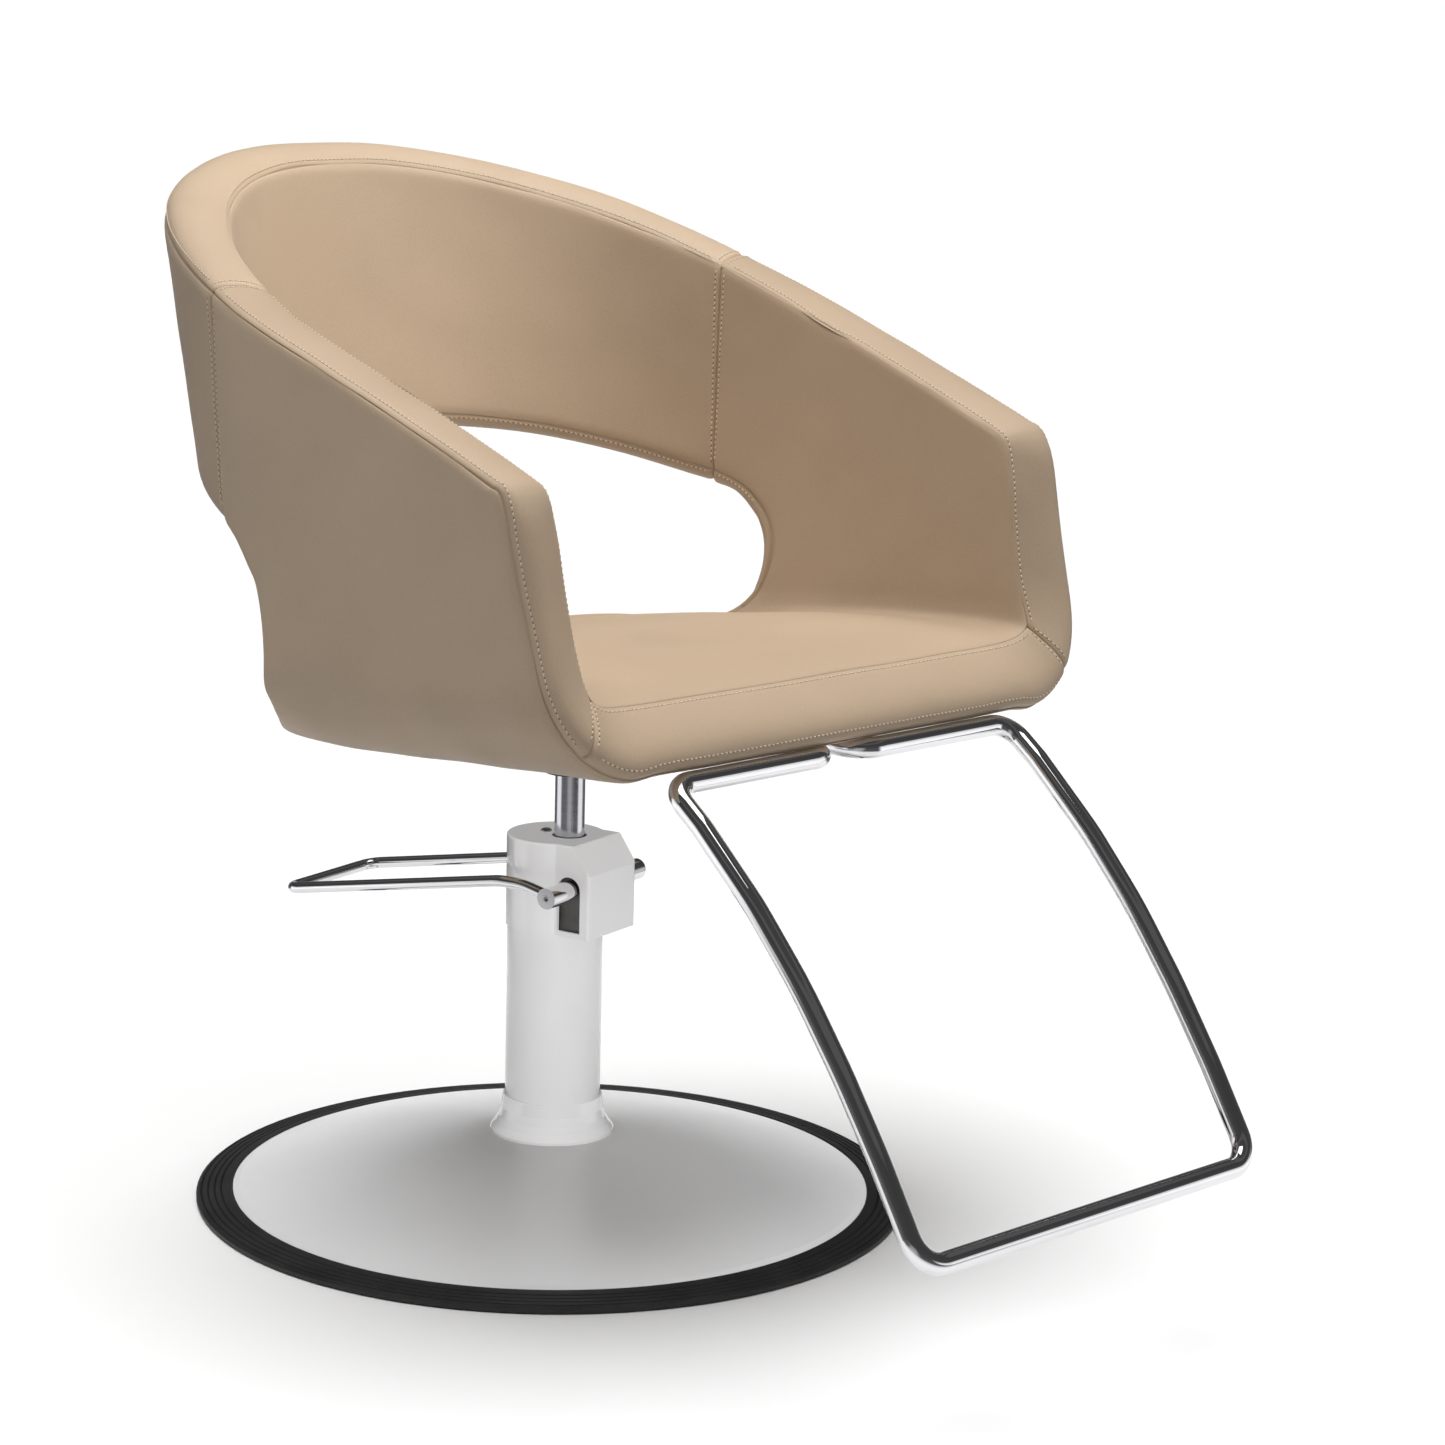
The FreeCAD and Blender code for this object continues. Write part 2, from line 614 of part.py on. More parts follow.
ci = D["core_inset"]
xi = D["side_inner"]
bt = D["board_thick"]
b = new_body("seat_board")
s = new_sketch(b, "board_outline", off=su)
bx = xi + ci
poly(s, [(-bx, -255), (-bx + 26, -270), (bx - 26, -270), (bx, -255), (bx, 20), (232, 60), (150, 96), (-150, 96), (-232, 60), (-bx, 20)])
pad(b, s, "Dims.board_thick", "board_pad")
s = new_sketch(b, "board_holes", off=su + bt)
CB = [(0, -176), (0, -144)]
for x, y in PB + CB:
    circle(s, x, y, 4.0)
pocket(b, s, 40.0, "board_holes_cut")
keep(b, "seat_board", PLC())

proto8 = one_bolt("plate_bolt", 7.0, 5.0, 4.0, mt + 13.0, up=True, socket=5.0)
f = compound_of(proto8, [PLC(V(x, y, su - mt), ROT()) for x, y in PB], "plate_bolts")
keep(f, "plate_bolts", PLC())

# --------------------------------------------------------------- upholstery
# seat cushion: wraps over the front and rear edges of the board
b = new_body("seat_cushion")
s = new_sketch(b, "cushion_section", "YZ_Plane", off=-236.0)
poly(s, [(-314, 456), (-320, 460), (-319, 467), (-292, 498), (-284, 503), (-270, 507), (-200, 510), (-100, 510),
         (0, 504), (70, 494), (118, 485), (142, 477), (152, 468), (148, 459), (138, 455.5), (100, 455.5),
         (100, 470.4), (-274, 470.4), (-274, 456)])
pad(b, s, 472.0, "cushion_pad")
s = new_sketch(b, "cushion_rear_trim", off=440.0)
for g in (-1, 1):
    poly(s, [(g * 240, 66), (g * 214, 106), (g * 168, 132), (g * 100, 146), (g * 30, 152.5), (g * 30, 170), (g * 240, 170)])
pocket(b, s, 100.0, "cushion_rear_cut", down=False)
keep(b, "seat_cushion", PLC())

# side panels: plywood core inside upholstery, one outline for both sides
outline = [(88, 786), (-230, 676), (-243, 670), (-250, 659), (-262, 612), (-276, 562), (-290, 520), (-304, 492),
           (-318, 470), (-319, 461), (-311, 455), (-290, 451), (-150, 446), (0, 440), (60, 441), (88, 447), (98, 458),
           (98, 471), (84, 478), (58, 487), (38, 505), (28, 530), (28, 552), (38, 571), (60, 590), (88, 606)]
core_outline = [(88, 768), (-222, 660), (-234, 650), (-248, 606), (-262, 556), (-277, 514), (-296, 482), (-300, 472),
                (-292, 466), (-150, 461), (0, 455), (60, 456), (72, 463), (60, 470), (38, 480), (20, 500), (12, 528),
                (13, 560), (28, 586), (56, 606), (88, 622)]
st, ck = D["side_thick"], D["core_thick"]
board_notch = {}
for g, side_name in ((-1, "right"), (1, "left")):
    # the core
    b = new_body("side_core_" + side_name)
    s = new_sketch(b, "core_outline_" + side_name, "YZ_Plane", off=g * (xi + ci))
    poly(s, core_outline)
    pad(b, s, "Dims.core_thick", "core_pad_" + side_name, up=(g > 0))
    # trim the rear lower corner in plan
    s = new_sketch(b, "core_trim_" + side_name, off=430.0)
    poly(s, [(g * 262, 58), (g * 286, 28), (g * 300, 28), (g * 300, 110), (g * 262, 110)])
    pocket(b, s, 130.0, "core_trim_cut_" + side_name, down=False)
    core = keep(b, "side_core_" + side_name, PLC())
    # the padding
    b = new_body("side_pad_" + side_name)
    s = new_sketch(b, "pad_outline_" + side_name, "YZ_Plane", off=g * xi)
    poly(s, outline)
    pad(b, s, "Dims.side_thick", "pad_pad_" + side_name, up=(g > 0))
    s = new_sketch(b, "pad_trim_" + side_name, off=430.0)
    poly(s, [(g * 246, 100), (g * (xi + st), 30), (g * (xi + st + 10), 30), (g * (xi + st + 10), 130), (g * 246, 130)])
    pocket(b, s, 140.0, "pad_trim_cut_" + side_name, down=False)
    # notch that lets the seat board reach the core
    s = new_sketch(b, "pad_notch_" + side_name, off=su)
    poly(s, [(g * (xi - 4), -272), (g * (xi + ci), -272), (g * (xi + ci), 60), (g * (xi - 4), 60)])
    pocket(b, s, "Dims.board_thick", "pad_notch_cut_" + side_name, down=False)
    pc = doc.addObject("Part::Cut", "side_pad_cut_" + side_name)
    pc.Base = b
    pc.Tool = core
    doc.recompute()
    keep(pc, "side_pad_" + side_name, PLC())

# back band: curved shell that leans back, open below
seam = D["seam_y"]


def half_curve(a, bb, yc, off, ystart, n=28):
    """Points from +X side round the back to -X side on an offset ellipse."""
    pts = []
    A, B = a + off, bb + off
    t_s = math.asin((ystart - yc) / B)
    for i in range(n + 1):
        t = t_s + (math.pi - 2 * t_s) * i / n
        pts.append((A * math.cos(t), yc + B * math.sin(t)))
    return pts


def crescent(a, bb, yc, o1, o2, z):
    inn = half_curve(a, bb, yc, o1, seam)
    out = half_curve(a, bb, yc, o2, seam)
    c1 = Part.BSplineCurve()
    c1.interpolate([V(x, y, z) for x, y in inn])
    c2 = Part.BSplineCurve()
    c2.interpolate([V(x, y, z) for x, y in reversed(out)])
    e1, e2 = c1.toShape(), c2.toShape()
    l1 = Part.LineSegment(V(inn[-1][0], inn[-1][1], z), V(out[-1][0], out[-1][1], z)).toShape()
    l2 = Part.LineSegment(V(out[0][0], out[0][1], z), V(inn[0][0], inn[0][1], z)).toShape()
    return Part.Wire([e1, l1, e2, l2])


def band(o1, o2, yz):
    lo = crescent(250.0, 246.0, -1.0, o1, o2, 560.0)
    hi = crescent(263.0, 322.0, -1.0, o1, o2, 900.0)
    loft = Part.makeLoft([lo, hi], True, True)
    w = Part.makePolygon([V(-450, y, z) for y, z in yz + [yz[0]]])
    slab = Part.Face(w).extrude(V(900, 0, 0))
    return loft.common(slab)


band_outer = band(0.0, st, [(seam, 606), (420, 668), (420, 902), (seam, 787)])
band_core = band(ci, ci + ck, [(seam, 622), (420, 684), (420, 884), (seam, 768)])
f = doc.addObject("Part::Feature", "back_core_solid")
f.Shape = band_core
keep(f, "back_core", PLC())
f = doc.addObject("Part::Feature", "back_pad_solid")
f.Shape = band_outer.cut(band_core)
keep(f, "back_pad", PLC())

# ------------------------------------------------------------------ footrest
tr, rh, th = D["tube_radius"], D["rail_half"], D["tail_half"]
tz, ty = 445.0, -318.0
rail = [V(0, -318.0, 445.0), V(0, -353.0, 420.0), V(0, -411.0, 370.0), V(0, -461.0, 318.0), V(0, -505.0, 262.0), V(0, -545.0, 205.0),
        V(0, -589.0, 135.0)]
half = [V(th, -124.0, tz), V(th, ty, tz), V(rh, ty, tz)]
half += [V(rh, p.y, p.z) for p in rail[1:-1]] + [V(rh, rail[-1].y, rail[-1].z)]
# radii follow the corners of `half` from its second point on
hr_list = [20.0, 22.0, 60.0, 260.0, 420.0, 420.0, 420.0, 24.0]
other = [V(-p.x, p.y, p.z) for p in reversed(half)]
fp = half + other
radii = hr_list + list(reversed(hr_list))


def safe_path(points, wanted):
    """Limit every corner radius so that neighbouring arcs never overlap."""
    rad = []
    for i in range(1, len(points) - 1):
        p = points[i]
        a, c = (points[i - 1] - p), (points[i + 1] - p)
        la, lc = a.Length, c.Length
        ang = a.getAngle(c)
        rad.append(min(wanted[i - 1], 0.47 * min(la, lc) * math.tan(ang / 2)))
    return rad


radii = safe_path(fp, radii)
foot_path = fillet_path(fp, radii)
solid_out = sweep_round(foot_path, tr)
solid_in = sweep_round(foot_path, tr - D["tube_wall"])
tube = solid_out.cut(solid_in)
print("footrest volume", tube.Volume, "expected", math.pi * (tr ** 2 - (tr - D["tube_wall"]) ** 2) * foot_path.Length)
f = doc.addObject("Part::Feature", "footrest_tube_solid")
f.Shape = tube
keep(f, "footrest_tube", PLC())

b = new_body("footrest_clamp")
s = new_sketch(b, "clamp_block", off=su)
poly(s, rounded([(-36, -196), (36, -196), (36, -126), (-36, -126)], 6.0))
pad(b, s, 22.0, "clamp_pad", up=False)
s = new_sketch(b, "clamp_bores", "XZ_Plane", off=100.0)
for g in (-1, 1):
    circle(s, g * th, tz, "tube_radius")
pocket(b, s, 120.0, "clamp_bores_cut", down=False)
s = new_sketch(b, "clamp_bolt_holes", off=su)
for x, y in CB:
    circle(s, x, y, 4.0)
pocket(b, s, 40.0, "clamp_bolt_cut")
keep(b, "footrest_clamp", PLC())

protoc = one_bolt("clamp_bolt", 7.0, 5.0, 4.0, 22.0 + 12.0, up=True, socket=5.0)
f = compound_of(protoc, [PLC(V(x, y, su - 22.0), ROT()) for x, y in CB], "clamp_bolts")
keep(f, "clamp_bolts", PLC())

# ----------------------------------------------------------- check and write
doc.recompute()
bad = []
for o in doc.Objects:
    st_ = [q for q in o.State if q in ("Invalid", "Error")]
    if st_:
        bad.append("%s %s" % (o.Name, st_))
for label, o in NODES.items():
    shp = o.Shape
    if shp.isNull() or not shp.isValid():
        bad.append("%s shape null or invalid" % label)
    elif not shp.Solids:
        bad.append("%s has no solid" % label)
if bad:
    raise RuntimeError("; ".join(bad))
os.makedirs("parts", exist_ok=True)
for label, o in NODES.items():
    o.Shape.exportStep("parts/%s.step" % label)
    bb = o.Shape.BoundBox
    print("%-20s solids %d vol %10.0f  x %.1f %.1f  y %.1f %.1f  z %.1f %.1f" % (
        label, len(o.Shape.Solids), o.Shape.Volume, bb.XMin, bb.XMax, bb.YMin, bb.YMax, bb.ZMin, bb.ZMax))
print(len(NODES), "nodes written")
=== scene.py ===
import math

import bmesh
import bpy
import numpy as np
from mathutils import Matrix, Vector


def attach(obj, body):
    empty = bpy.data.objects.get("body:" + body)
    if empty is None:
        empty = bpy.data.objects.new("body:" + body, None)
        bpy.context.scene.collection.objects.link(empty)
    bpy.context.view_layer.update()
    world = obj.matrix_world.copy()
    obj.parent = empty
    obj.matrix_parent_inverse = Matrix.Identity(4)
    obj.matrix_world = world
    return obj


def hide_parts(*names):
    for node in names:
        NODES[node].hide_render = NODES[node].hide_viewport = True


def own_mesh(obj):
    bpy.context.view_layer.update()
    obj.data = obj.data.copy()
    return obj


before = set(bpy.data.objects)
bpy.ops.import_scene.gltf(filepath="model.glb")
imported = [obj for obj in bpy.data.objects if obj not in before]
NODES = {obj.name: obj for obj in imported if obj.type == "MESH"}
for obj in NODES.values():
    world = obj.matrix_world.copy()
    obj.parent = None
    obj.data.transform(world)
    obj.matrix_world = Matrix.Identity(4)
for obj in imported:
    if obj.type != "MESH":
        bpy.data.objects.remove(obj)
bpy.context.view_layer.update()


# ------------------------------------------------------------------ materials
def new_mat(name):
    m = bpy.data.materials.new(name)
    m.use_nodes = True
    nt = m.node_tree
    nt.nodes.clear()
    out = nt.nodes.new("ShaderNodeOutputMaterial")
    bs = nt.nodes.new("ShaderNodeBsdfPrincipled")
    nt.links.new(bs.outputs[0], out.inputs[0])
    tc = nt.nodes.new("ShaderNodeTexCoord")
    return m, nt, bs, tc


def noise(nt, tc, scale, detail=4.0, rough=0.5, dist=0.0, stretch=None):
    n = nt.nodes.new("ShaderNodeTexNoise")
    n.inputs["Scale"].default_value = scale
    n.inputs["Detail"].default_value = detail
    n.inputs["Roughness"].default_value = rough
    n.inputs["Distortion"].default_value = dist
    if stretch is None:
        nt.links.new(tc.outputs["Object"], n.inputs["Vector"])
    else:
        mp = nt.nodes.new("ShaderNodeMapping")
        mp.inputs["Scale"].default_value = stretch
        nt.links.new(tc.outputs["Object"], mp.inputs["Vector"])
        nt.links.new(mp.outputs[0], n.inputs["Vector"])
    return n


def ramp(nt, src, stops):
    r = nt.nodes.new("ShaderNodeValToRGB")
    while len(r.color_ramp.elements) < len(stops):
        r.color_ramp.elements.new(0.5)
    for e, (p, c) in zip(r.color_ramp.elements, stops):
        e.position = p
        e.color = (c[0], c[1], c[2], 1.0) if hasattr(c, "__len__") else (c, c, c, 1.0)
    nt.links.new(src, r.inputs[0])
    return r


def bump(nt, bs, height, strength, distance, prev=None):
    b = nt.nodes.new("ShaderNodeBump")
    b.inputs["Strength"].default_value = strength
    b.inputs["Distance"].default_value = distance
    nt.links.new(height, b.inputs["Height"])
    if prev is not None:
        nt.links.new(prev.outputs[0], b.inputs["Normal"])
    nt.links.new(b.outputs[0], bs.inputs["Normal"])
    return b


def leather_mat(name, col, spread=0.05, rough=0.46):
    m, nt, bs, tc = new_mat(name)
    big = noise(nt, tc, 5.0, 3.0, 0.55)
    lo = [c * (1 - spread) for c in col]
    hi = [min(1, c * (1 + spread)) for c in col]
    cr = ramp(nt, big.outputs["Fac"], [(0.3, lo), (0.7, hi)])
    # fine pores darken the colour a little
    vor = nt.nodes.new("ShaderNodeTexVoronoi")
    vor.feature = "DISTANCE_TO_EDGE"
    vor.inputs["Scale"].default_value = 720.0
    warp = noise(nt, tc, 160.0, 2.0, 0.5)
    mixv = nt.nodes.new("ShaderNodeVectorMath")
    mixv.operation = "MULTIPLY_ADD"
    mixv.inputs[1].default_value = (0.0035, 0.0035, 0.0035)
    nt.links.new(warp.outputs["Color"], mixv.inputs[0])
    nt.links.new(tc.outputs["Object"], mixv.inputs[2])
    nt.links.new(mixv.outputs[0], vor.inputs["Vector"])
    edge = ramp(nt, vor.outputs["Distance"], [(0.0, 0.0), (0.16, 1.0)])
    mx = nt.nodes.new("ShaderNodeMix")
    mx.data_type = "RGBA"
    mx.blend_type = "MULTIPLY"
    mx.inputs[0].default_value = 0.10
    nt.links.new(cr.outputs[0], mx.inputs[6])
    nt.links.new(edge.outputs[0], mx.inputs[7])
    nt.links.new(mx.outputs[2], bs.inputs["Base Color"])
    rn = noise(nt, tc, 14.0, 3.0, 0.6)
    rr = ramp(nt, rn.outputs["Fac"], [(0.25, rough - 0.05), (0.75, rough + 0.07)])
    nt.links.new(rr.outputs[0], bs.inputs["Roughness"])
    bs.inputs["Specular IOR Level"].default_value = 0.36
    bs.inputs["Sheen Weight"].default_value = 0.06
    bs.inputs["Sheen Roughness"].default_value = 0.5
    b1 = bump(nt, bs, edge.outputs[0], 0.22, 0.00012)
    crease = noise(nt, tc, 55.0, 5.0, 0.62, 0.8)
    b2 = bump(nt, bs, crease.outputs["Fac"], 0.16, 0.0007, b1)
    fold = noise(nt, tc, 9.0, 2.0, 0.5, 0.4)
    bump(nt, bs, fold.outputs["Fac"], 0.10, 0.004, b2)
    return m


def paint_mat(name, col, rough=0.14, coat=0.8, peel=0.05, metallic=0.0):
    m, nt, bs, tc = new_mat(name)
    n = noise(nt, tc, 18.0, 3.0)
    cr = ramp(nt, n.outputs["Fac"], [(0.3, [c * 0.985 for c in col]), (0.7, col)])
    nt.links.new(cr.outputs[0], bs.inputs["Base Color"])
    rn = noise(nt, tc, 60.0, 3.0)
    rr = ramp(nt, rn.outputs["Fac"], [(0.3, max(0.02, rough - 0.03)), (0.7, rough + 0.04)])
    nt.links.new(rr.outputs[0], bs.inputs["Roughness"])
    bs.inputs["Metallic"].default_value = metallic
    bs.inputs["Coat Weight"].default_value = coat
    bs.inputs["Coat Roughness"].default_value = 0.04
    orange = noise(nt, tc, 240.0, 2.0)
    bump(nt, bs, orange.outputs["Fac"], peel, 0.0004)
    return m


def metal_mat(name, col, rough, brushed=None, var=0.03, bumpy=0.02):
    m, nt, bs, tc = new_mat(name)
    bs.inputs["Metallic"].default_value = 1.0
    n = noise(nt, tc, 40.0, 3.0, stretch=brushed)
    cr = ramp(nt, n.outputs["Fac"], [(0.3, [c * (1 - var) for c in col]), (0.7, col)])
    nt.links.new(cr.outputs[0], bs.inputs["Base Color"])
    rr = ramp(nt, n.outputs["Fac"], [(0.25, max(0.02, rough * 0.8)), (0.75, rough * 1.25)])
    nt.links.new(rr.outputs[0], bs.inputs["Roughness"])
    n2 = noise(nt, tc, 300.0, 2.0, stretch=brushed)
    bump(nt, bs, n2.outputs["Fac"], bumpy, 0.0002)
    return m


def rubber_mat(name, col, rough=0.5):
    m, nt, bs, tc = new_mat(name)
    n = noise(nt, tc, 25.0, 4.0)
    cr = ramp(nt, n.outputs["Fac"], [(0.3, [c * 0.8 for c in col]), (0.75, [c * 1.35 for c in col])])
    nt.links.new(cr.outputs[0], bs.inputs["Base Color"])
    rr = ramp(nt, n.outputs["Fac"], [(0.3, rough - 0.06), (0.7, rough + 0.08)])
    nt.links.new(rr.outputs[0], bs.inputs["Roughness"])
    n2 = noise(nt, tc, 500.0, 3.0)
    bump(nt, bs, n2.outputs["Fac"], 0.15, 0.0003)
    return m


def thread_mat(name, col):
    m, nt, bs, tc = new_mat(name)
    w = nt.nodes.new("ShaderNodeTexWave")
    w.inputs["Scale"].default_value = 900.0
    w.inputs["Distortion"].default_value = 1.0
    nt.links.new(tc.outputs["Object"], w.inputs["Vector"])
    cr = ramp(nt, w.outputs["Fac"], [(0.2, [c * 0.8 for c in col]), (0.8, col)])
    nt.links.new(cr.outputs[0], bs.inputs["Base Color"])
    bs.inputs["Roughness"].default_value = 0.6
    bump(nt, bs, w.outputs["Fac"], 0.3, 0.0002)
    return m


def wood_mat(name, col):
    m, nt, bs, tc = new_mat(name)
    n = noise(nt, tc, 12.0, 6.0, 0.6, 1.2, stretch=(1.0, 12.0, 1.0))
    cr = ramp(nt, n.outputs["Fac"], [(0.3, [c * 0.72 for c in col]), (0.7, col)])
    nt.links.new(cr.outputs[0], bs.inputs["Base Color"])
    bs.inputs["Roughness"].default_value = 0.6
    bump(nt, bs, n.outputs["Fac"], 0.2, 0.0005)
    return m


LEATHER = leather_mat("leather_tan", (0.50, 0.377, 0.262))
WHITE = paint_mat("white_gloss", (0.90, 0.895, 0.90), 0.12, 0.9)
DISH = paint_mat("dish_satin", (0.86, 0.86, 0.865), 0.34, 0.12, 0.0, 0.10)
BLACK = paint_mat("black_powder", (0.022, 0.022, 0.024), 0.42, 0.1, 0.25)
CHROME = metal_mat("chrome_bright", (0.88, 0.88, 0.90), 0.05)
ROD = metal_mat("rod_steel", (0.66, 0.66, 0.70), 0.16, (1, 1, 30))
ZINC = metal_mat("zinc_steel", (0.62, 0.62, 0.63), 0.28, None, 0.15, 0.1)
CAST = metal_mat("casting_dark", (0.16, 0.155, 0.15), 0.45, None, 0.4, 0.4)
RUBBER = rubber_mat("rubber_black", (0.026, 0.025, 0.026))
THREAD = thread_mat("thread_tan", (0.82, 0.68, 0.52))
# dark brown needle-hole colour: painted shade inside each stitch hole
HOLE_SHADE = rubber_mat("needle_hole_shade", (0.09, 0.06, 0.04), 0.8)
WOOD = wood_mat("plywood", (0.55, 0.40, 0.24))
CLOTH = rubber_mat("bottom_cloth", (0.02, 0.02, 0.022), 0.85)

BY_NODE = {
    "base_plate": BLACK, "rubber_rim": RUBBER, "base_dish": DISH, "pump_flange": BLACK, "base_bolts": ZINC,
    "base_nuts": ZINC, "column_jacket": WHITE, "column_collar": WHITE, "pump_cylinder": ROD, "pump_head_casting": CAST,
    "head_cover": WHITE, "cover_screw": ZINC, "rod_wiper": RUBBER, "cross_shaft": CHROME, "pump_lever": CHROME,
    "shaft_screws": ZINC, "pump_crank": CAST, "pump_plunger": ROD, "plunger_spring": ZINC, "piston_head": CAST,
    "piston_seal": RUBBER, "piston_rod": ROD, "seat_hub": BLACK, "seat_plate": BLACK, "plate_bolts": ZINC,
    "seat_board": WOOD, "seat_cushion": LEATHER, "side_core_left": WOOD, "side_core_right": WOOD,
    "side_pad_left": LEATHER, "side_pad_right": LEATHER, "back_core": WOOD, "back_pad": LEATHER,
    "footrest_tube": CHROME, "footrest_clamp": BLACK, "clamp_bolts": ZINC,
}
for n, o in NODES.items():
    o.data.materials.clear()
    o.data.materials.append(BY_NODE[n])

# ---------------------------------------------------------- upholstered shell
# Sizes in millimetres. The shell is a closed ring: seat, left arm, back band,
# right arm, with the rear opening in its middle. Each column of the ring runs
# through four lines: A inner rim seam, D inner opening edge, C outer opening
# edge, B outer rim seam.
THICK = 51.0
NEXP = 2.08


def smooth(x, a, b):
    u = np.clip((x - a) / (b - a), 0, 1)
    return u * u * (3 - 2 * u)


def wa(z):
    return 248.3 + 0.0475 * (z - 511.0)


def wb(z):
    return 264.5 + 0.2408 * (z - 648.0)


def rim_z(y):
    u = y / 300.0
    return 756.0 + 102.0 * u - 2.0 * u * u + 5.0 * u ** 3 - 2.0 * math.exp(-((y - 10.0) / 70.0) ** 2)


def wall(p, z, off):
    """Point of the wall at plan coordinate p and height z, off mm outside the inner face."""
    if off > 0:
        off = off + (6.0 + 0.025 * (z - 820.0)) * float(smooth(p, 60.0, 300.0))
    a, b = wa(z) + off, wb(z) + off
    phi = max(p, 0.0) / 285.0
    c, s = math.cos(phi), math.sin(phi)
    r = (abs(c / a) ** NEXP + abs(s / b) ** NEXP) ** (-1.0 / NEXP)
    if p <= 0:
        return np.array([a + 0.005 * p, -1.0 + p, z])
    return np.array([r * c, -1.0 + r * s, z])


def to_p(y, z, off, x=None):
    """Plan coordinate of a wall point with that y (front part) or that x and y."""
    if y <= -1.0:
        return y + 1.0
    if x is not None:
        return 285.0 * math.atan2(y + 1.0, max(x, 0.0))
    a, b = wa(z) + off, wb(z) + off
    lo, hi = 0.0, math.pi / 2
    for _ in range(40):
        m = (lo + hi) / 2
        c, s = math.cos(m), math.sin(m)
        r = (abs(c / a) ** NEXP + abs(s / b) ** NEXP) ** (-1.0 / NEXP)
        if r * s - 1.0 < y:
            lo = m
        else:
            hi = m
    return 285.0 * (lo + hi) / 2


ST = [  # A                      D                    B                     C
    ((0, -284, 502.5), (0, 124, 480), (0, -318, 452), (0, 141, 443)),
    ((80, -284, 502.5), (72, 121, 480), (80, -318, 452), (75, 138, 443)),
    ((150, -284.5, 503), (140, 104, 479.5), (150, -317.5, 452), (142, 125, 437)),
    ((200, -285.5, 503.5), (196, 87, 473.5), (203, -316.5, 452.5), (200, 107, 431)),
    ((226, -286.5, 505.3), (222, 75, 471), (230, -314, 451), (231, 91, 428.5)),
    ((239, -288, 509), (237, 58, 475.5), (252, -310, 458), (252, 74, 435)),
    ((246.5, -288.8, 516), (243, 42.5, 485), (272, -304.5, 472), (268, 58, 445)),
    ((248.5, -282.5, 530), (246.5, 30, 497), (289, -296.5, 495), (282, 48, 458)),
    ((248.9, -275.0, 551), (248.2, 21.5, 509.5), (298.5, -287.5, 523), (290.5, 46, 476)),
    ((249.6, -269.5, 574), (249.3, 15, 526), (301.5, -279, 551), (297, 43, 500)),
    ((250.8, -264.0, 600), (249.6, 13, 540), (303, -271.5, 577), (300.5, 43.5, 522)),
    ((252.0, -259.5, 628), (249.8, 14.5, 552), (304.5, -263.5, 606), (302, 45.5, 537)),
    ((253.2, -254.5, 648), (249.8, 18, 561), (304, -256.5, 636), (302.5, 48, 548)),
    ((253.8, -251.0, 659), (249.6, 21.5, 567), (305, -251.8, 656), (302.5, 50.5, 556)),
    ((254.3, -245.5, 667.5), (249.4, 25.5, 572.8), (305, -245.8, 668.5), (302, 54, 563)),
]
WALLS = [  # y of A on the rim, then y, z of D, then y, z of C (or None)
    (-237.0, 30.0, 577.3, 59.5, 569.5), (-216.0, 36.0, 582.7, 65.5, 576.0), (-150.0, 44.0, 588.7, 73.0, 583.5),
    (-90.0, 52.5, 593.7, 81.5, 590.7), (-30.0, 62.0, 597.7, 93.0, 597.5), (30.0, 71.5, 601.0, 101.0, 602.0),
    (88.0, 81.4, 603.6, 106.5, 608.0), (130.0, 106.0, 608.6, None, None), (179.0, 136.0, 616.2, None, None),
    (226.0, 169.5, 625.4, None, None), (263.0, 202.0, 634.3, None, None), (292.0, 231.0, 641.8, None, None),
    (309.0, 251.0, 646.3, None, None), (None, None, 648.5, None, None),
]
A, D, B, C = [], [], [], []
for a, d, b, c in ST:
    A.append(a); D.append(d); B.append(b); C.append(c)
for ya, yd, zd, yc, zc in WALLS:
    if ya is None:
        pa = pd = 285.0 * math.pi / 2
        za = 866.3
    else:
        za = rim_z(ya)
        pa, pd = to_p(ya, za, 0.0), to_p(yd, zd, 0.0)
    A.append(wall(pa, za, 0.0)); D.append(wall(pd, zd, 0.0))
    B.append(wall(pa, za, THICK))
    if yc is None:
        C.append(wall(pd, zd + 5.0, THICK))
    else:
        C.append(wall(to_p(yc, zc, THICK), zc, THICK))
A, D, B, C = [np.array(q, float) for q in (A, D, B, C)]
NS = len(A)
chord = sum(np.linalg.norm(np.diff(q, axis=0), axis=1) for q in (A, D, B, C)) / 4
TK = np.concatenate([[0], np.cumsum(chord)])


def spline(q, t):
    """Cubic through the stations, symmetric about the ends' mirror plane."""
    m = np.zeros_like(q)
    dt = np.diff(TK)
    sl = np.diff(q, axis=0) / dt[:, None]
    m[1:-1] = (sl[:-1] * dt[1:, None] + sl[1:] * dt[:-1, None]) / (dt[:-1] + dt[1:])[:, None]
    m[0] = [sl[0][0], 0, 0]
    m[-1] = [sl[-1][0], 0, 0]
    k = int(np.clip(np.searchsorted(TK, t) - 1, 0, NS - 2))
    h = dt[k]
    u = (t - TK[k]) / h
    return ((2 * u ** 3 - 3 * u ** 2 + 1) * q[k] + (u ** 3 - 2 * u ** 2 + u) * h * m[k]
            + (-2 * u ** 3 + 3 * u ** 2) * q[k + 1] + (u ** 3 - u ** 2) * h * m[k + 1])


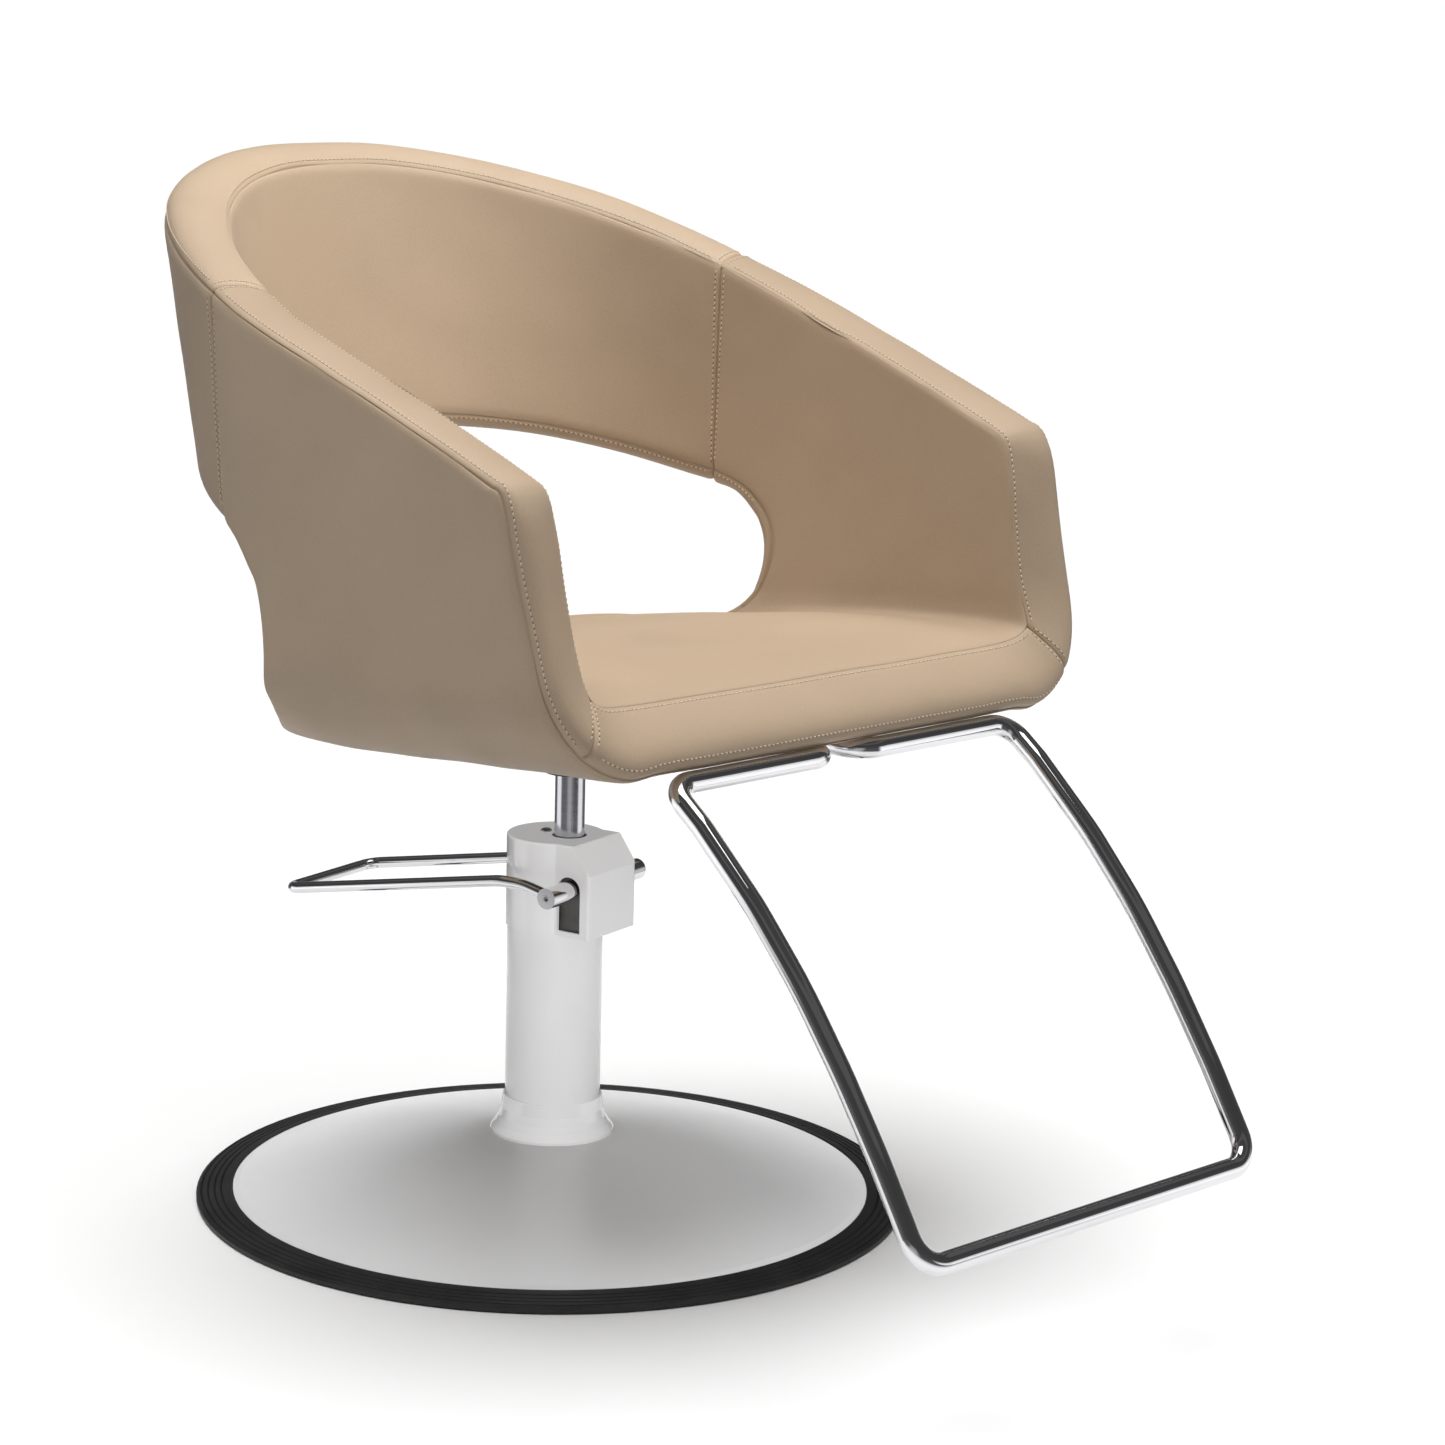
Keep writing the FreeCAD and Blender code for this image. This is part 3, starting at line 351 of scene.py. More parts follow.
T_MITRE, T_SEAM, T_END = TK[6], TK[21], TK[-1]
step = 5.0
NEAR = [0.5, 1.0, 1.6, 2.4, 3.5, 5.0, 7.0, 10.0]
ts = set(np.linspace(0, T_END, int(T_END / step) + 1).tolist())
for tc_ in (T_MITRE, T_SEAM):
    ts = {t for t in ts if abs(t - tc_) > 12.0}
    ts |= {tc_} | {tc_ + g * d for g in (-1, 1) for d in NEAR}
ts = sorted(ts)
FAC = 9
EDGE = [0.0, 0.5, 1.0, 1.6, 2.4, 3.5, 5.0, 7.0, 10.0]


def fractions(length, middle):
    """Fractions along a panel: fine near both seams, even between them."""
    e = [x / length for x in EDGE]
    mid = np.linspace(e[-1], 1 - e[-1], middle + 2)[1:-1]
    return np.array(e + mid.tolist() + [1 - x for x in reversed(e)])


N_IN, N_ST, N_OUT, N_WIN = 34, 9, 34, 7


def seam_dip(d):
    """How far a panel tucks in at distance d from a seam."""
    return 1.9 * np.exp(-d / 0.9) + 1.5 * np.exp(-(d / 5.0) ** 2)


def column(t):
    """One closed cross-section: points, tuck depth at each, panel id."""
    a, d, b, c = (spline(q, t) for q in (A, D, B, C))
    w = float(smooth(t, TK[7], TK[9]))
    wseat = 1.0 - float(smooth(t, TK[3], TK[8]))
    groove_d = float(smooth(t, TK[6], TK[10]))
    wo = float(smooth(t, TK[7], TK[10]))
    pa, pd = to_p(a[1], a[2], 0, a[0]), to_p(d[1], d[2], 0, d[0])
    pc, pb = to_p(c[1], c[2], THICK, c[0]), to_p(b[1], b[2], THICK, b[0])
    if w > 0:
        a = a * (1 - w) + w * wall(pa, a[2], 0.0)
        d = d * (1 - w) + w * wall(pd, d[2], 0.0)
    if wo > 0:
        b = b * (1 - wo) + wo * wall(pb, b[2], THICK)
        c = c * (1 - wo) + wo * wall(pc, c[2], THICK)
    flat = 0.55 + 0.45 * float(smooth(t, TK[5], TK[7]))
    pts, tuck, pid = [], [], []
    # inner face from A to D
    f = fractions(np.linalg.norm(d - a), N_IN)
    L = np.linalg.norm(d - a)
    for v in f:
        lin = a + (d - a) * v
        lin = lin + np.array([0, 0, 1.0]) * wseat * (16.5 * math.sin(math.pi * min(1, v ** 0.8)) ** 1.0)
        if w > 0:
            lin = lin * (1 - w) + w * wall(pa + (pd - pa) * v, a[2] + (d[2] - a[2]) * v, 0.0)
        pts.append(lin)
        tuck.append(flat * seam_dip(v * L) + groove_d * seam_dip((1 - v) * L) + (1 - groove_d) * 2.0 * math.exp(-((1 - v) * L / 9.0) ** 2))
        pid.append(0)
    # opening strip from D to C
    L = np.linalg.norm(c - d)
    f = fractions(L, N_WIN)[1:-1]
    amp = 12.5 + 4.0 * float(smooth(t, TK[18], TK[21]))
    across = (c - d) / L
    for v in f:
        pts.append(("w", d + (c - d) * v, amp * (v ** 0.5 * (1 - v) ** 0.7) / 0.5085))
        tuck.append(groove_d * seam_dip(v * L) * 0.8 + seam_dip((1 - v) * L) * 0.35)
        pid.append(1)
    # outer face from C to B
    L = np.linalg.norm(b - c)
    f = fractions(L, N_OUT)
    low = float(smooth(t, TK[3], TK[6])) * (1.0 - float(smooth(t, TK[7], TK[9])))
    low2 = float(smooth(t, TK[2], TK[4])) * (1.0 - float(smooth(t, TK[6], TK[8])))
    under = 1.0 - float(smooth(t, TK[3], TK[5]))
    for v in f:
        lin = c + (b - c) * v
        if under > 0:
            k = smooth(min(v, 1 - v) * L, 8.0, 45.0) * under
            lin = lin + np.array([0, 0, 1.0]) * k * (454.7 - lin[2])
        if wo > 0:
            lin = lin * (1 - wo) + wo * wall(pc + (pb - pc) * v, c[2] + (b[2] - c[2]) * v, THICK)
        lin = lin + np.array([0.3, 0, -0.95]) * low2 * 11.0 * v ** 0.6 * (1 - v) ** 2.4 / 0.345
        lin = lin + np.array([0.45, 0, -0.9]) * low * 3.5 * v ** 0.8 * (1 - v ** 7) / 0.72
        pts.append(lin)
        tuck.append(0.35 * seam_dip(v * L) + seam_dip((1 - v) * L))
        pid.append(2)
    # rim strip from B to A
    L = np.linalg.norm(a - b)
    f = fractions(L, N_ST)[1:-1]
    amp = 15.0 - 6.5 * float(smooth(t, TK[12], TK[15])) - 3.5 * float(smooth(t, TK[15], TK[18])) + 13.5 * float(smooth(t, TK[19], TK[24]))
    skew = 1.0 - float(smooth(t, TK[12], TK[15]))
    for v in f:
        pts.append(("r", b + (a - b) * v, amp * (skew * v ** 0.42 * (1 - v) ** 1.15 / 0.4212 + (1 - skew) * v ** 0.5 * (1 - v) ** 0.85 / 0.4757)))
        tuck.append(seam_dip(v * L) + flat * seam_dip((1 - v) * L))
        pid.append(3)
    return a, d, b, c, pts, np.array(tuck), np.array(pid)


cols = [column(t) for t in ts]
NT, NP = len(ts), len(cols[0][4])
P = np.zeros((NT, NP, 3))
TU = np.zeros((NT, NP))
PID = cols[0][6]
bulge = np.zeros((NT, NP))
for i, cset in enumerate(cols):
    for j, q in enumerate(cset[4]):
        if isinstance(q, tuple):
            P[i, j] = q[1]
            bulge[i, j] = q[2]
        else:
            P[i, j] = q
    TU[i] = cset[5]

# the full ring: half, then its mirror image
full = np.concatenate([P, (P[::-1] * [-1, 1, 1])[1:-1]])
fb = np.concatenate([bulge, bulge[::-1][1:-1]])
ft = np.concatenate([TU, TU[::-1][1:-1]])
TT = np.array(list(ts) + [-t for t in reversed(ts)][1:-1])
NC = len(full)


def grid_normals(g):
    du = np.roll(g, -1, 0) - np.roll(g, 1, 0)
    dv = np.roll(g, -1, 1) - np.roll(g, 1, 1)
    n = np.cross(du, dv)
    n /= np.maximum(np.linalg.norm(n, axis=2, keepdims=True), 1e-9)
    return n


nrm = grid_normals(full)
# orientation: outward normals
cen = full.mean(axis=1, keepdims=True)
if ((full - cen) * nrm).sum() < 0:
    nrm = -nrm
    FLIP = True
else:
    FLIP = False
full = full + nrm * fb[..., None]
# soft upholstery relief: very shallow, slow waves
x, y, z = full[..., 0], full[..., 1], full[..., 2]
wave = (0.55 * np.sin(0.031 * x + 0.047 * y + 1.3) * np.sin(0.039 * z - 0.021 * y + 0.4)
        + 0.35 * np.sin(0.083 * z + 0.051 * x + 2.0) * np.sin(0.062 * y + 0.7))
full = full + nrm * (wave * (1 - np.exp(-(3.2 - np.minimum(ft, 3.2)) ** 2)))[..., None] * 0.6
nrm = grid_normals(full) * (-1 if FLIP else 1)
# tucks along the seams of each column
full = full - nrm * ft[..., None]
# cross seams: mitres on the front strip, upright seams on all panels at the arm-to-back joint
for tc_, pids in ((T_MITRE, (3,)), (T_SEAM, (0, 1, 2, 3))):
    for sgn in (1, -1):
        i0 = int(np.argmin(np.abs(TT - sgn * tc_)))
        dist = np.linalg.norm(full - full[i0][None], axis=2)
        m = np.isin(PID, pids)[None, :] & (np.abs(np.abs(TT) - tc_) < 14)[:, None] & (np.sign(TT + 1e-9) == sgn)[:, None]
        dip = np.where(m, 2.2 * np.exp(-dist / 0.9) + 0.9 * np.exp(-(dist / 3.8) ** 2), 0)
        full = full - nrm * dip[..., None]
nrm_final = grid_normals(full) * (-1 if FLIP else 1)


def ring_index(t):
    return int(np.argmin(np.abs(TT - t)))


def shell_piece(name, i0, i1):
    """Closed mesh of ring columns i0..i1 (inclusive, wrapping)."""
    idx = [(i0 + k) % NC for k in range(((i1 - i0) % NC) + 1)]
    co = full[idx].reshape(-1, 3) / 1000.0
    n = len(idx)
    faces = []
    for i in range(n - 1):
        for j in range(NP):
            a_, b_ = i * NP + j, i * NP + (j + 1) % NP
            c_, d_ = (i + 1) * NP + (j + 1) % NP, (i + 1) * NP + j
            faces.append((a_, d_, c_, b_) if not FLIP else (a_, b_, c_, d_))
    verts = co.tolist()
    # caps
    for k, i in ((0, 0), (1, n - 1)):
        cidx = len(verts)
        verts.append(full[idx[i]].mean(axis=0) / 1000.0)
        for j in range(NP):
            a_, b_ = i * NP + j, i * NP + (j + 1) % NP
            tri = (a_, b_, cidx) if (k == 0) != FLIP else (b_, a_, cidx)
            faces.append(tri)
    me = bpy.data.meshes.new(name)
    me.from_pydata([tuple(v) for v in verts], [], faces)
    me.update()
    for p in me.polygons:
        p.use_smooth = True
    vn = nrm_final[idx].reshape(-1, 3).tolist() + [[0, 0, 1]] * 2
    me.normals_split_custom_set_from_vertices(vn)
    me.materials.append(LEATHER)
    o = bpy.data.objects.new(name, me)
    bpy.context.scene.collection.objects.link(o)
    return o


iM, iS = ring_index(T_MITRE), ring_index(T_SEAM)
iMr, iSr = ring_index(-T_MITRE), ring_index(-T_SEAM)
seat = shell_piece("seat_leather", iMr, iM)
arm_l = shell_piece("arm_leather_left", iM, iS)
back = shell_piece("back_leather", iS, iSr)
arm_r = shell_piece("arm_leather_right", iSr, iMr)
for o, nodes_, fill in ((seat, ("seat_cushion", "seat_board"), 0.8), (arm_l, ("side_pad_left", "side_core_left"), 0.85),
                        (arm_r, ("side_pad_right", "side_core_right"), 0.85), (back, ("back_pad", "back_core"), 0.85)):
    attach(o, "seat")
    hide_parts(*nodes_)

# --------------------------------------------------------------- bottom cloth
def cloth_panel(name, xs, ys, z0, z1, hole):
    """Thin closed panel on a grid of cells, left open where hole(x, y) is true."""
    keep_ = {(i, j) for i in range(len(xs) - 1) for j in range(len(ys) - 1)
             if not hole((xs[i] + xs[i + 1]) / 2, (ys[j] + ys[j + 1]) / 2)}
    vid, verts, faces = {}, [], []

    def v(i, j, k):
        if (i, j, k) not in vid:
            vid[(i, j, k)] = len(verts)
            verts.append((xs[i] / 1000.0, ys[j] / 1000.0, (z1 if k else z0) / 1000.0))
        return vid[(i, j, k)]

    for i, j in sorted(keep_):
        faces.append((v(i, j, 1), v(i + 1, j, 1), v(i + 1, j + 1, 1), v(i, j + 1, 1)))
        faces.append((v(i, j, 0), v(i, j + 1, 0), v(i + 1, j + 1, 0), v(i + 1, j, 0)))
        for di, dj, p_, q_ in ((0, -1, (i, j), (i + 1, j)), (1, 0, (i + 1, j), (i + 1, j + 1)),
                               (0, 1, (i + 1, j + 1), (i, j + 1)), (-1, 0, (i, j + 1), (i, j))):
            if (i + di, j + dj) not in keep_:
                faces.append((v(*p_, 0), v(*q_, 0), v(*q_, 1), v(*p_, 1)))
    me = bpy.data.meshes.new(name)
    me.from_pydata(verts, [], faces)
    me.update()
    me.materials.append(CLOTH)
    o = bpy.data.objects.new(name, me)
    bpy.context.scene.collection.objects.link(o)
    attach(o, "seat")
    return o


CX = [-146, -112, -60, -38, 38, 60, 112, 146]
CY = [-268, -230, -198, -124, -92, -40, 0, 40, 92, 100]
cloth_panel("bottom_cloth", sorted(set(CX)), sorted(set(CY)), 453.9, 454.6,
            lambda x_, y_: (abs(x_) < 112 and abs(y_) < 92) or (abs(x_) < 38 and -198 < y_ < -124))

# return spring of the pump plunger (in the real pump it shortens as the lever pushes the plunger down): a copy with its
# own mesh, attached to the base
src = NODES["plunger_spring"]
coil = bpy.data.objects.new("plunger_spring_coil", src.data.copy())
bpy.context.scene.collection.objects.link(coil)
coil.matrix_world = src.matrix_world.copy()
coil.data.materials.clear()
coil.data.materials.append(ZINC)
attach(coil, "base")
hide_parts("plunger_spring")
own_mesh(coil)

# ------------------------------------------------------------------- stitching
jA = 0
nin = int((PID == 0).sum())
jD = nin - 1
jC = int(np.where(PID == 2)[0][0])
jB = int(np.where(PID == 2)[0][-1])
SEGS = {"A_strip": (NP, -1), "A_in": (0, 1), "D_in": (jD, -1), "D_strip": (jD, 1), "B_strip": (jB, 1), "B_out": (jB, -1),
        "C_out": (jC, 1), "C_strip": (jC, -1)}


def at_distance(i, seam, d):
    """Point and normal on ring column i at distance d from a seam, measured along the section."""
    j0, sg = SEGS[seam]
    acc, j = 0.0, j0
    while True:
        a_, b_ = full[i, j % NP], full[i, (j + sg) % NP]
        l = np.linalg.norm(b_ - a_)
        if acc + l >= d:
            u = (d - acc) / max(l, 1e-9)
            n = nrm_final[i, j % NP] * (1 - u) + nrm_final[i, (j + sg) % NP] * u
            return a_ + (b_ - a_) * u, n / np.linalg.norm(n)
        acc += l
        j += sg


STITCH, GAP, RAD = 3.0, 4.6, 0.62


def capsule(p, tdir, n, length, rad):
    """A short thread bead lying on the surface: six-sided, tapered into the leather at its ends."""
    bdir = np.cross(tdir, n)
    vs = []
    for s_, r_, dip in ((-0.5, 0.25, 0.35), (-0.36, 0.85, 0.0), (0.0, 1.0, -0.08), (0.36, 0.85, 0.0), (0.5, 0.25, 0.35)):
        for k in range(6):
            a_ = k * math.pi / 3
            vs.append(p + tdir * s_ * length + (bdir * math.cos(a_) * 1.05 + n * math.sin(a_) * 0.9) * rad * r_ - n * dip)
    return vs


def stitch_rows(name, rows, body="seat"):
    verts, faces, holes = [], [], set()
    for pts, nr in rows:
        pts, nr = np.array(pts), np.array(nr)
        seg = np.linalg.norm(np.diff(pts, axis=0), axis=1)
        s_ = np.concatenate([[0], np.cumsum(seg)])
        count = int((s_[-1] - 3) / GAP)
        for k in range(count):
            c0 = 1.5 + GAP * (k + 0.5)
            q = [np.interp(c0, s_, pts[:, m_]) for m_ in range(3)]
            q2 = [np.interp(c0 + 1.0, s_, pts[:, m_]) for m_ in range(3)]
            n_ = np.array([np.interp(c0, s_, nr[:, m_]) for m_ in range(3)])
            n_ /= np.linalg.norm(n_)
            td = np.array(q2) - np.array(q)
            td -= n_ * (td @ n_)
            td /= max(np.linalg.norm(td), 1e-9)
            # slight slant of each stitch, as a lockstitch has
            bd = np.cross(td, n_)
            td = td * math.cos(0.12) + bd * math.sin(0.12)
            base = len(verts)
            verts += capsule(np.array(q) + n_ * 0.05, td, n_, STITCH, RAD)
            for r_ in range(4):
                for m_ in range(6):
                    faces.append((base + r_ * 6 + m_, base + r_ * 6 + (m_ + 1) % 6, base + (r_ + 1) * 6 + (m_ + 1) % 6, base + (r_ + 1) * 6 + m_))
            faces.append(tuple(base + m_ for m_ in reversed(range(6))))
            faces.append(tuple(base + 24 + m_ for m_ in range(6)))
            # needle hole between this stitch and the next: a small sunk lens in a dark colour, painted shade inside the
            # hole
            c1 = c0 + GAP / 2
            h_ = np.array([np.interp(c1, s_, pts[:, m_]) for m_ in range(3)])
            base = len(verts)
            for m_ in range(6):
                a_ = m_ * math.pi / 3
                verts.append(h_ + (td * math.cos(a_) + np.cross(td, n_) * math.sin(a_)) * 0.62 - n_ * 0.02)
            verts += [h_ + n_ * 0.10, h_ - n_ * 0.5]
            for m_ in range(6):
                e_ = base + (m_ + 1) % 6
                holes.add(len(faces))
                faces.append((base + m_, e_, base + 6))
                holes.add(len(faces))
                faces.append((e_, base + m_, base + 7))
    me = bpy.data.meshes.new(name)
    me.from_pydata([tuple(v / 1000.0) for v in verts], [], faces)
    me.update()
    me.materials.append(THREAD)
    me.materials.append(HOLE_SHADE)
    for p_ in me.polygons:
        p_.use_smooth = True
        if p_.index in holes:
            p_.material_index = 1
    o = bpy.data.objects.new(name, me)
    bpy.context.scene.collection.objects.link(o)
    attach(o, body)
    return o


def ring_row(seam, d, i0, i1):
    out = [at_distance((i0 + k) % NC, seam, d) for k in range(((i1 - i0) % NC) + 1)]
    return [q[0] for q in out], [q[1] for q in out]


def cross_row(t, j0, j1):
    """Row along the section at ring parameter t, from section index j0 to j1."""
    i = ring_index(t)
    js = range(j0, j1 + 1)
    return [full[i, j % NP] for j in js], [nrm_final[i, j % NP] for j in js]


def inset(i, di):
    return (i + di) % NC


stitch_rows("stitch_seat", [
    ring_row("A_strip", 5.0, inset(iMr, 7), inset(iM, -7)),
    ring_row("B_strip", 13.5, inset(iMr, 7), inset(iM, -7)),
    cross_row(T_MITRE - 3.5, jB + 8, NP - 4), cross_row(-(T_MITRE - 3.5), jB + 8, NP - 4)])
for side, s0, s1, sg in (("left", iM, iS, 1), ("right", iSr, iMr, -1)):
    stitch_rows("stitch_arm_" + side, [
        ring_row("A_strip", 6.0, inset(s0, 7), inset(s1, -7)),
        ring_row("B_strip", 7.5, inset(s0, 7), inset(s1, -7)),
        ring_row("D_strip", 4.0, *((inset(iM, 40), inset(iS, -7)) if sg > 0 else (inset(iSr, 7), inset(iMr, -40)))),
        cross_row(sg * (T_MITRE + 3.5), jB + 8, NP - 4),
        cross_row(sg * (T_SEAM - 3.5), 6, jD - 6), cross_row(sg * (T_SEAM - 3.5), jC + 6, jB - 6),
        cross_row(sg * (T_SEAM - 3.5), jB + 5, NP - 4)])
stitch_rows("stitch_back", [
    ring_row("A_strip", 6.0, inset(iS, 7), inset(iSr, -7)),
    ring_row("B_strip", 7.5, inset(iS, 7), inset(iSr, -7)),
    ring_row("D_strip", 4.0, inset(iS, 7), inset(iSr, -7)),
    cross_row(T_SEAM + 3.5, 6, jD - 6), cross_row(-(T_SEAM + 3.5), 6, jD - 6),
    cross_row(T_SEAM + 3.5, jC + 6, jB - 6), cross_row(-(T_SEAM + 3.5), jC + 6, jB - 6),
    cross_row(T_SEAM + 3.5, jB + 5, NP - 4), cross_row(-(T_SEAM + 3.5), jB + 5, NP - 4)])

# ---------------------------------------------------------------------- floor
PANELS = [(0.0, .10), (0.06, .10), (0.10, .34), (0.15, .34), (0.19, .07), (0.30, .07), (0.33, .9), (0.42, .9), (0.45, .10),
          (0.55, .10), (0.60, .3), (0.66, .3), (0.70, .10), (0.80, .07), (0.83, .95), (0.92, .95), (0.95, .10), (1.0, .10)]


def panels(nt, xs, ys):
    """Brightness of the studio's standing light panels by compass direction: light in the world, a painted reflection
    in the floor's colour.
    """
    at = nt.nodes.new("ShaderNodeMath")
    at.operation = "ARCTAN2"
    nt.links.new(ys, at.inputs[0])
    nt.links.new(xs, at.inputs[1])
    mr_ = nt.nodes.new("ShaderNodeMapRange")
    mr_.inputs[1].default_value, mr_.inputs[2].default_value = -math.pi, math.pi
    nt.links.new(at.outputs[0], mr_.inputs[0])
    cr = nt.nodes.new("ShaderNodeValToRGB")
    while len(cr.color_ramp.elements) < len(PANELS):
        cr.color_ramp.elements.new(0.5)
    for e, (p_, c_) in zip(cr.color_ramp.elements, PANELS):
        e.position = p_
        e.color = (c_, c_, c_, 1)
    nt.links.new(mr_.outputs[0], cr.inputs[0])
    return cr.outputs[0]


def floor_mat():
    m, nt, bs, tc = new_mat("floor_pale")
    n = noise(nt, tc, 0.6, 2.0)
    cr = ramp(nt, n.outputs["Fac"], [(0.3, (0.90, 0.90, 0.90)), (0.7, (0.91, 0.91, 0.91))])
    lp = nt.nodes.new("ShaderNodeLightPath")
    mx = nt.nodes.new("ShaderNodeMix")
    mx.data_type = "RGBA"
    nt.links.new(lp.outputs["Is Diffuse Ray"], mx.inputs[0])
    nt.links.new(cr.outputs[0], mx.inputs[6])
    mx.inputs[7].default_value = (0.40, 0.40, 0.40, 1)
    # for glossy rays the floor's colour is a painted reflection: the pale floor ends like a paper sweep, with painted
    # light panels standing around it
    sep_ = nt.nodes.new("ShaderNodeSeparateXYZ")
    nt.links.new(tc.outputs["Object"], sep_.inputs[0])
    ln = nt.nodes.new("ShaderNodeVectorMath")
    ln.operation = "LENGTH"
    nt.links.new(tc.outputs["Object"], ln.inputs[0])
    far = nt.nodes.new("ShaderNodeMapRange")
    far.inputs[1].default_value, far.inputs[2].default_value = 0.8, 1.25
    nt.links.new(ln.outputs["Value"], far.inputs[0])
    pan = panels(nt, sep_.outputs[0], sep_.outputs[1])
    m2 = nt.nodes.new("ShaderNodeMix")
    m2.data_type = "RGBA"
    nt.links.new(far.outputs[0], m2.inputs[0])
    m2.inputs[6].default_value = (0.75, 0.75, 0.75, 1)
    nt.links.new(pan, m2.inputs[7])
    # glossy rays see this painted reflection in place of the floor's own colour
    m3 = nt.nodes.new("ShaderNodeMix")
    m3.data_type = "RGBA"
    nt.links.new(lp.outputs["Is Glossy Ray"], m3.inputs[0])
    nt.links.new(mx.outputs[2], m3.inputs[6])
    nt.links.new(m2.outputs[2], m3.inputs[7])
    nt.links.new(m3.outputs[2], bs.inputs["Base Color"])
    bs.inputs["Roughness"].default_value = 0.75
    bs.inputs["Specular IOR Level"].default_value = 0.1
    return m


me = bpy.data.meshes.new("floor")
R = 120.0
me.from_pydata([(-R, -R, -0.0003), (R, -R, -0.0003), (R, R, -0.0003), (-R, R, -0.0003)], [], [(0, 1, 2, 3)])
floor = bpy.data.objects.new("floor", me)
floor.data.materials.append(floor_mat())
bpy.context.scene.collection.objects.link(floor)

# --------------------------------------------------------------- light, camera
world = bpy.data.worlds.new("studio")
bpy.context.scene.world = world
world.use_nodes = True
bpy.context.scene.view_settings.view_transform = "Standard"
bpy.context.scene.view_settings.look = "None"
wn = world.node_tree
wn.nodes.clear()
wo_ = wn.nodes.new("ShaderNodeOutputWorld")
bg = wn.nodes.new("ShaderNodeBackground")
wtc = wn.nodes.new("ShaderNodeTexCoord")
sep = wn.nodes.new("ShaderNodeSeparateXYZ")
wn.links.new(wtc.outputs["Generated"], sep.inputs[0])
wr = wn.nodes.new("ShaderNodeValToRGB")
stops = [(0.0, 0.9), (0.50, 0.9), (0.53, 0.75), (0.59, 0.28), (0.80, 0.14), (0.93, 0.5), (1.0, 0.8)]
while len(wr.color_ramp.elements) < len(stops):
    wr.color_ramp.elements.new(0.5)
for e, (p_, c_) in zip(wr.color_ramp.elements, stops):
    e.position = p_
    e.color = (c_, c_, c_ * 1.0, 1)
mr = wn.nodes.new("ShaderNodeMapRange")
mr.inputs[1].default_value = -1.0
mr.inputs[2].default_value = 1.0
wn.links.new(sep.outputs[2], mr.inputs[0])
wn.links.new(mr.outputs[0], wr.inputs[0])
up = wn.nodes.new("ShaderNodeMapRange")
up.inputs[1].default_value, up.inputs[2].default_value = 0.12, 0.22
wn.links.new(sep.outputs[2], up.inputs[0])
top = wn.nodes.new("ShaderNodeValToRGB")
GL = [(0.0, 0.07), (0.60, 0.05), (0.66, 0.10), (0.78, 0.10), (0.82, 0.06), (1.0, 0.06)]
while len(top.color_ramp.elements) < len(GL):
    top.color_ramp.elements.new(0.5)
for e, (p_, c_) in zip(top.color_ramp.elements, GL):
    e.position = p_
    e.color = (c_, c_, c_, 1)
wn.links.new(sep.outputs[2], top.inputs[0])
gm = wn.nodes.new("ShaderNodeMix")
gm.data_type = "RGBA"
wn.links.new(up.outputs[0], gm.inputs[0])
wn.links.new(panels(wn, sep.outputs[0], sep.outputs[1]), gm.inputs[6])
wn.links.new(top.outputs[0], gm.inputs[7])
wlp = wn.nodes.new("ShaderNodeLightPath")
wm = wn.nodes.new("ShaderNodeMix")
wm.data_type = "RGBA"
wn.links.new(wlp.outputs["Is Glossy Ray"], wm.inputs[0])
wd = wn.nodes.new("ShaderNodeMix")
wd.data_type = "RGBA"
wn.links.new(wlp.outputs["Is Diffuse Ray"], wd.inputs[0])
wd.inputs[6].default_value = (1.18, 1.18, 1.18, 1)
wn.links.new(wr.outputs[0], wd.inputs[7])
wn.links.new(wd.outputs[2], wm.inputs[6])
wn.links.new(gm.outputs[2], wm.inputs[7])
wn.links.new(wm.outputs[2], bg.inputs[0])
bg.inputs[1].default_value = 0.85
wn.links.new(bg.outputs[0], wo_.inputs[0])


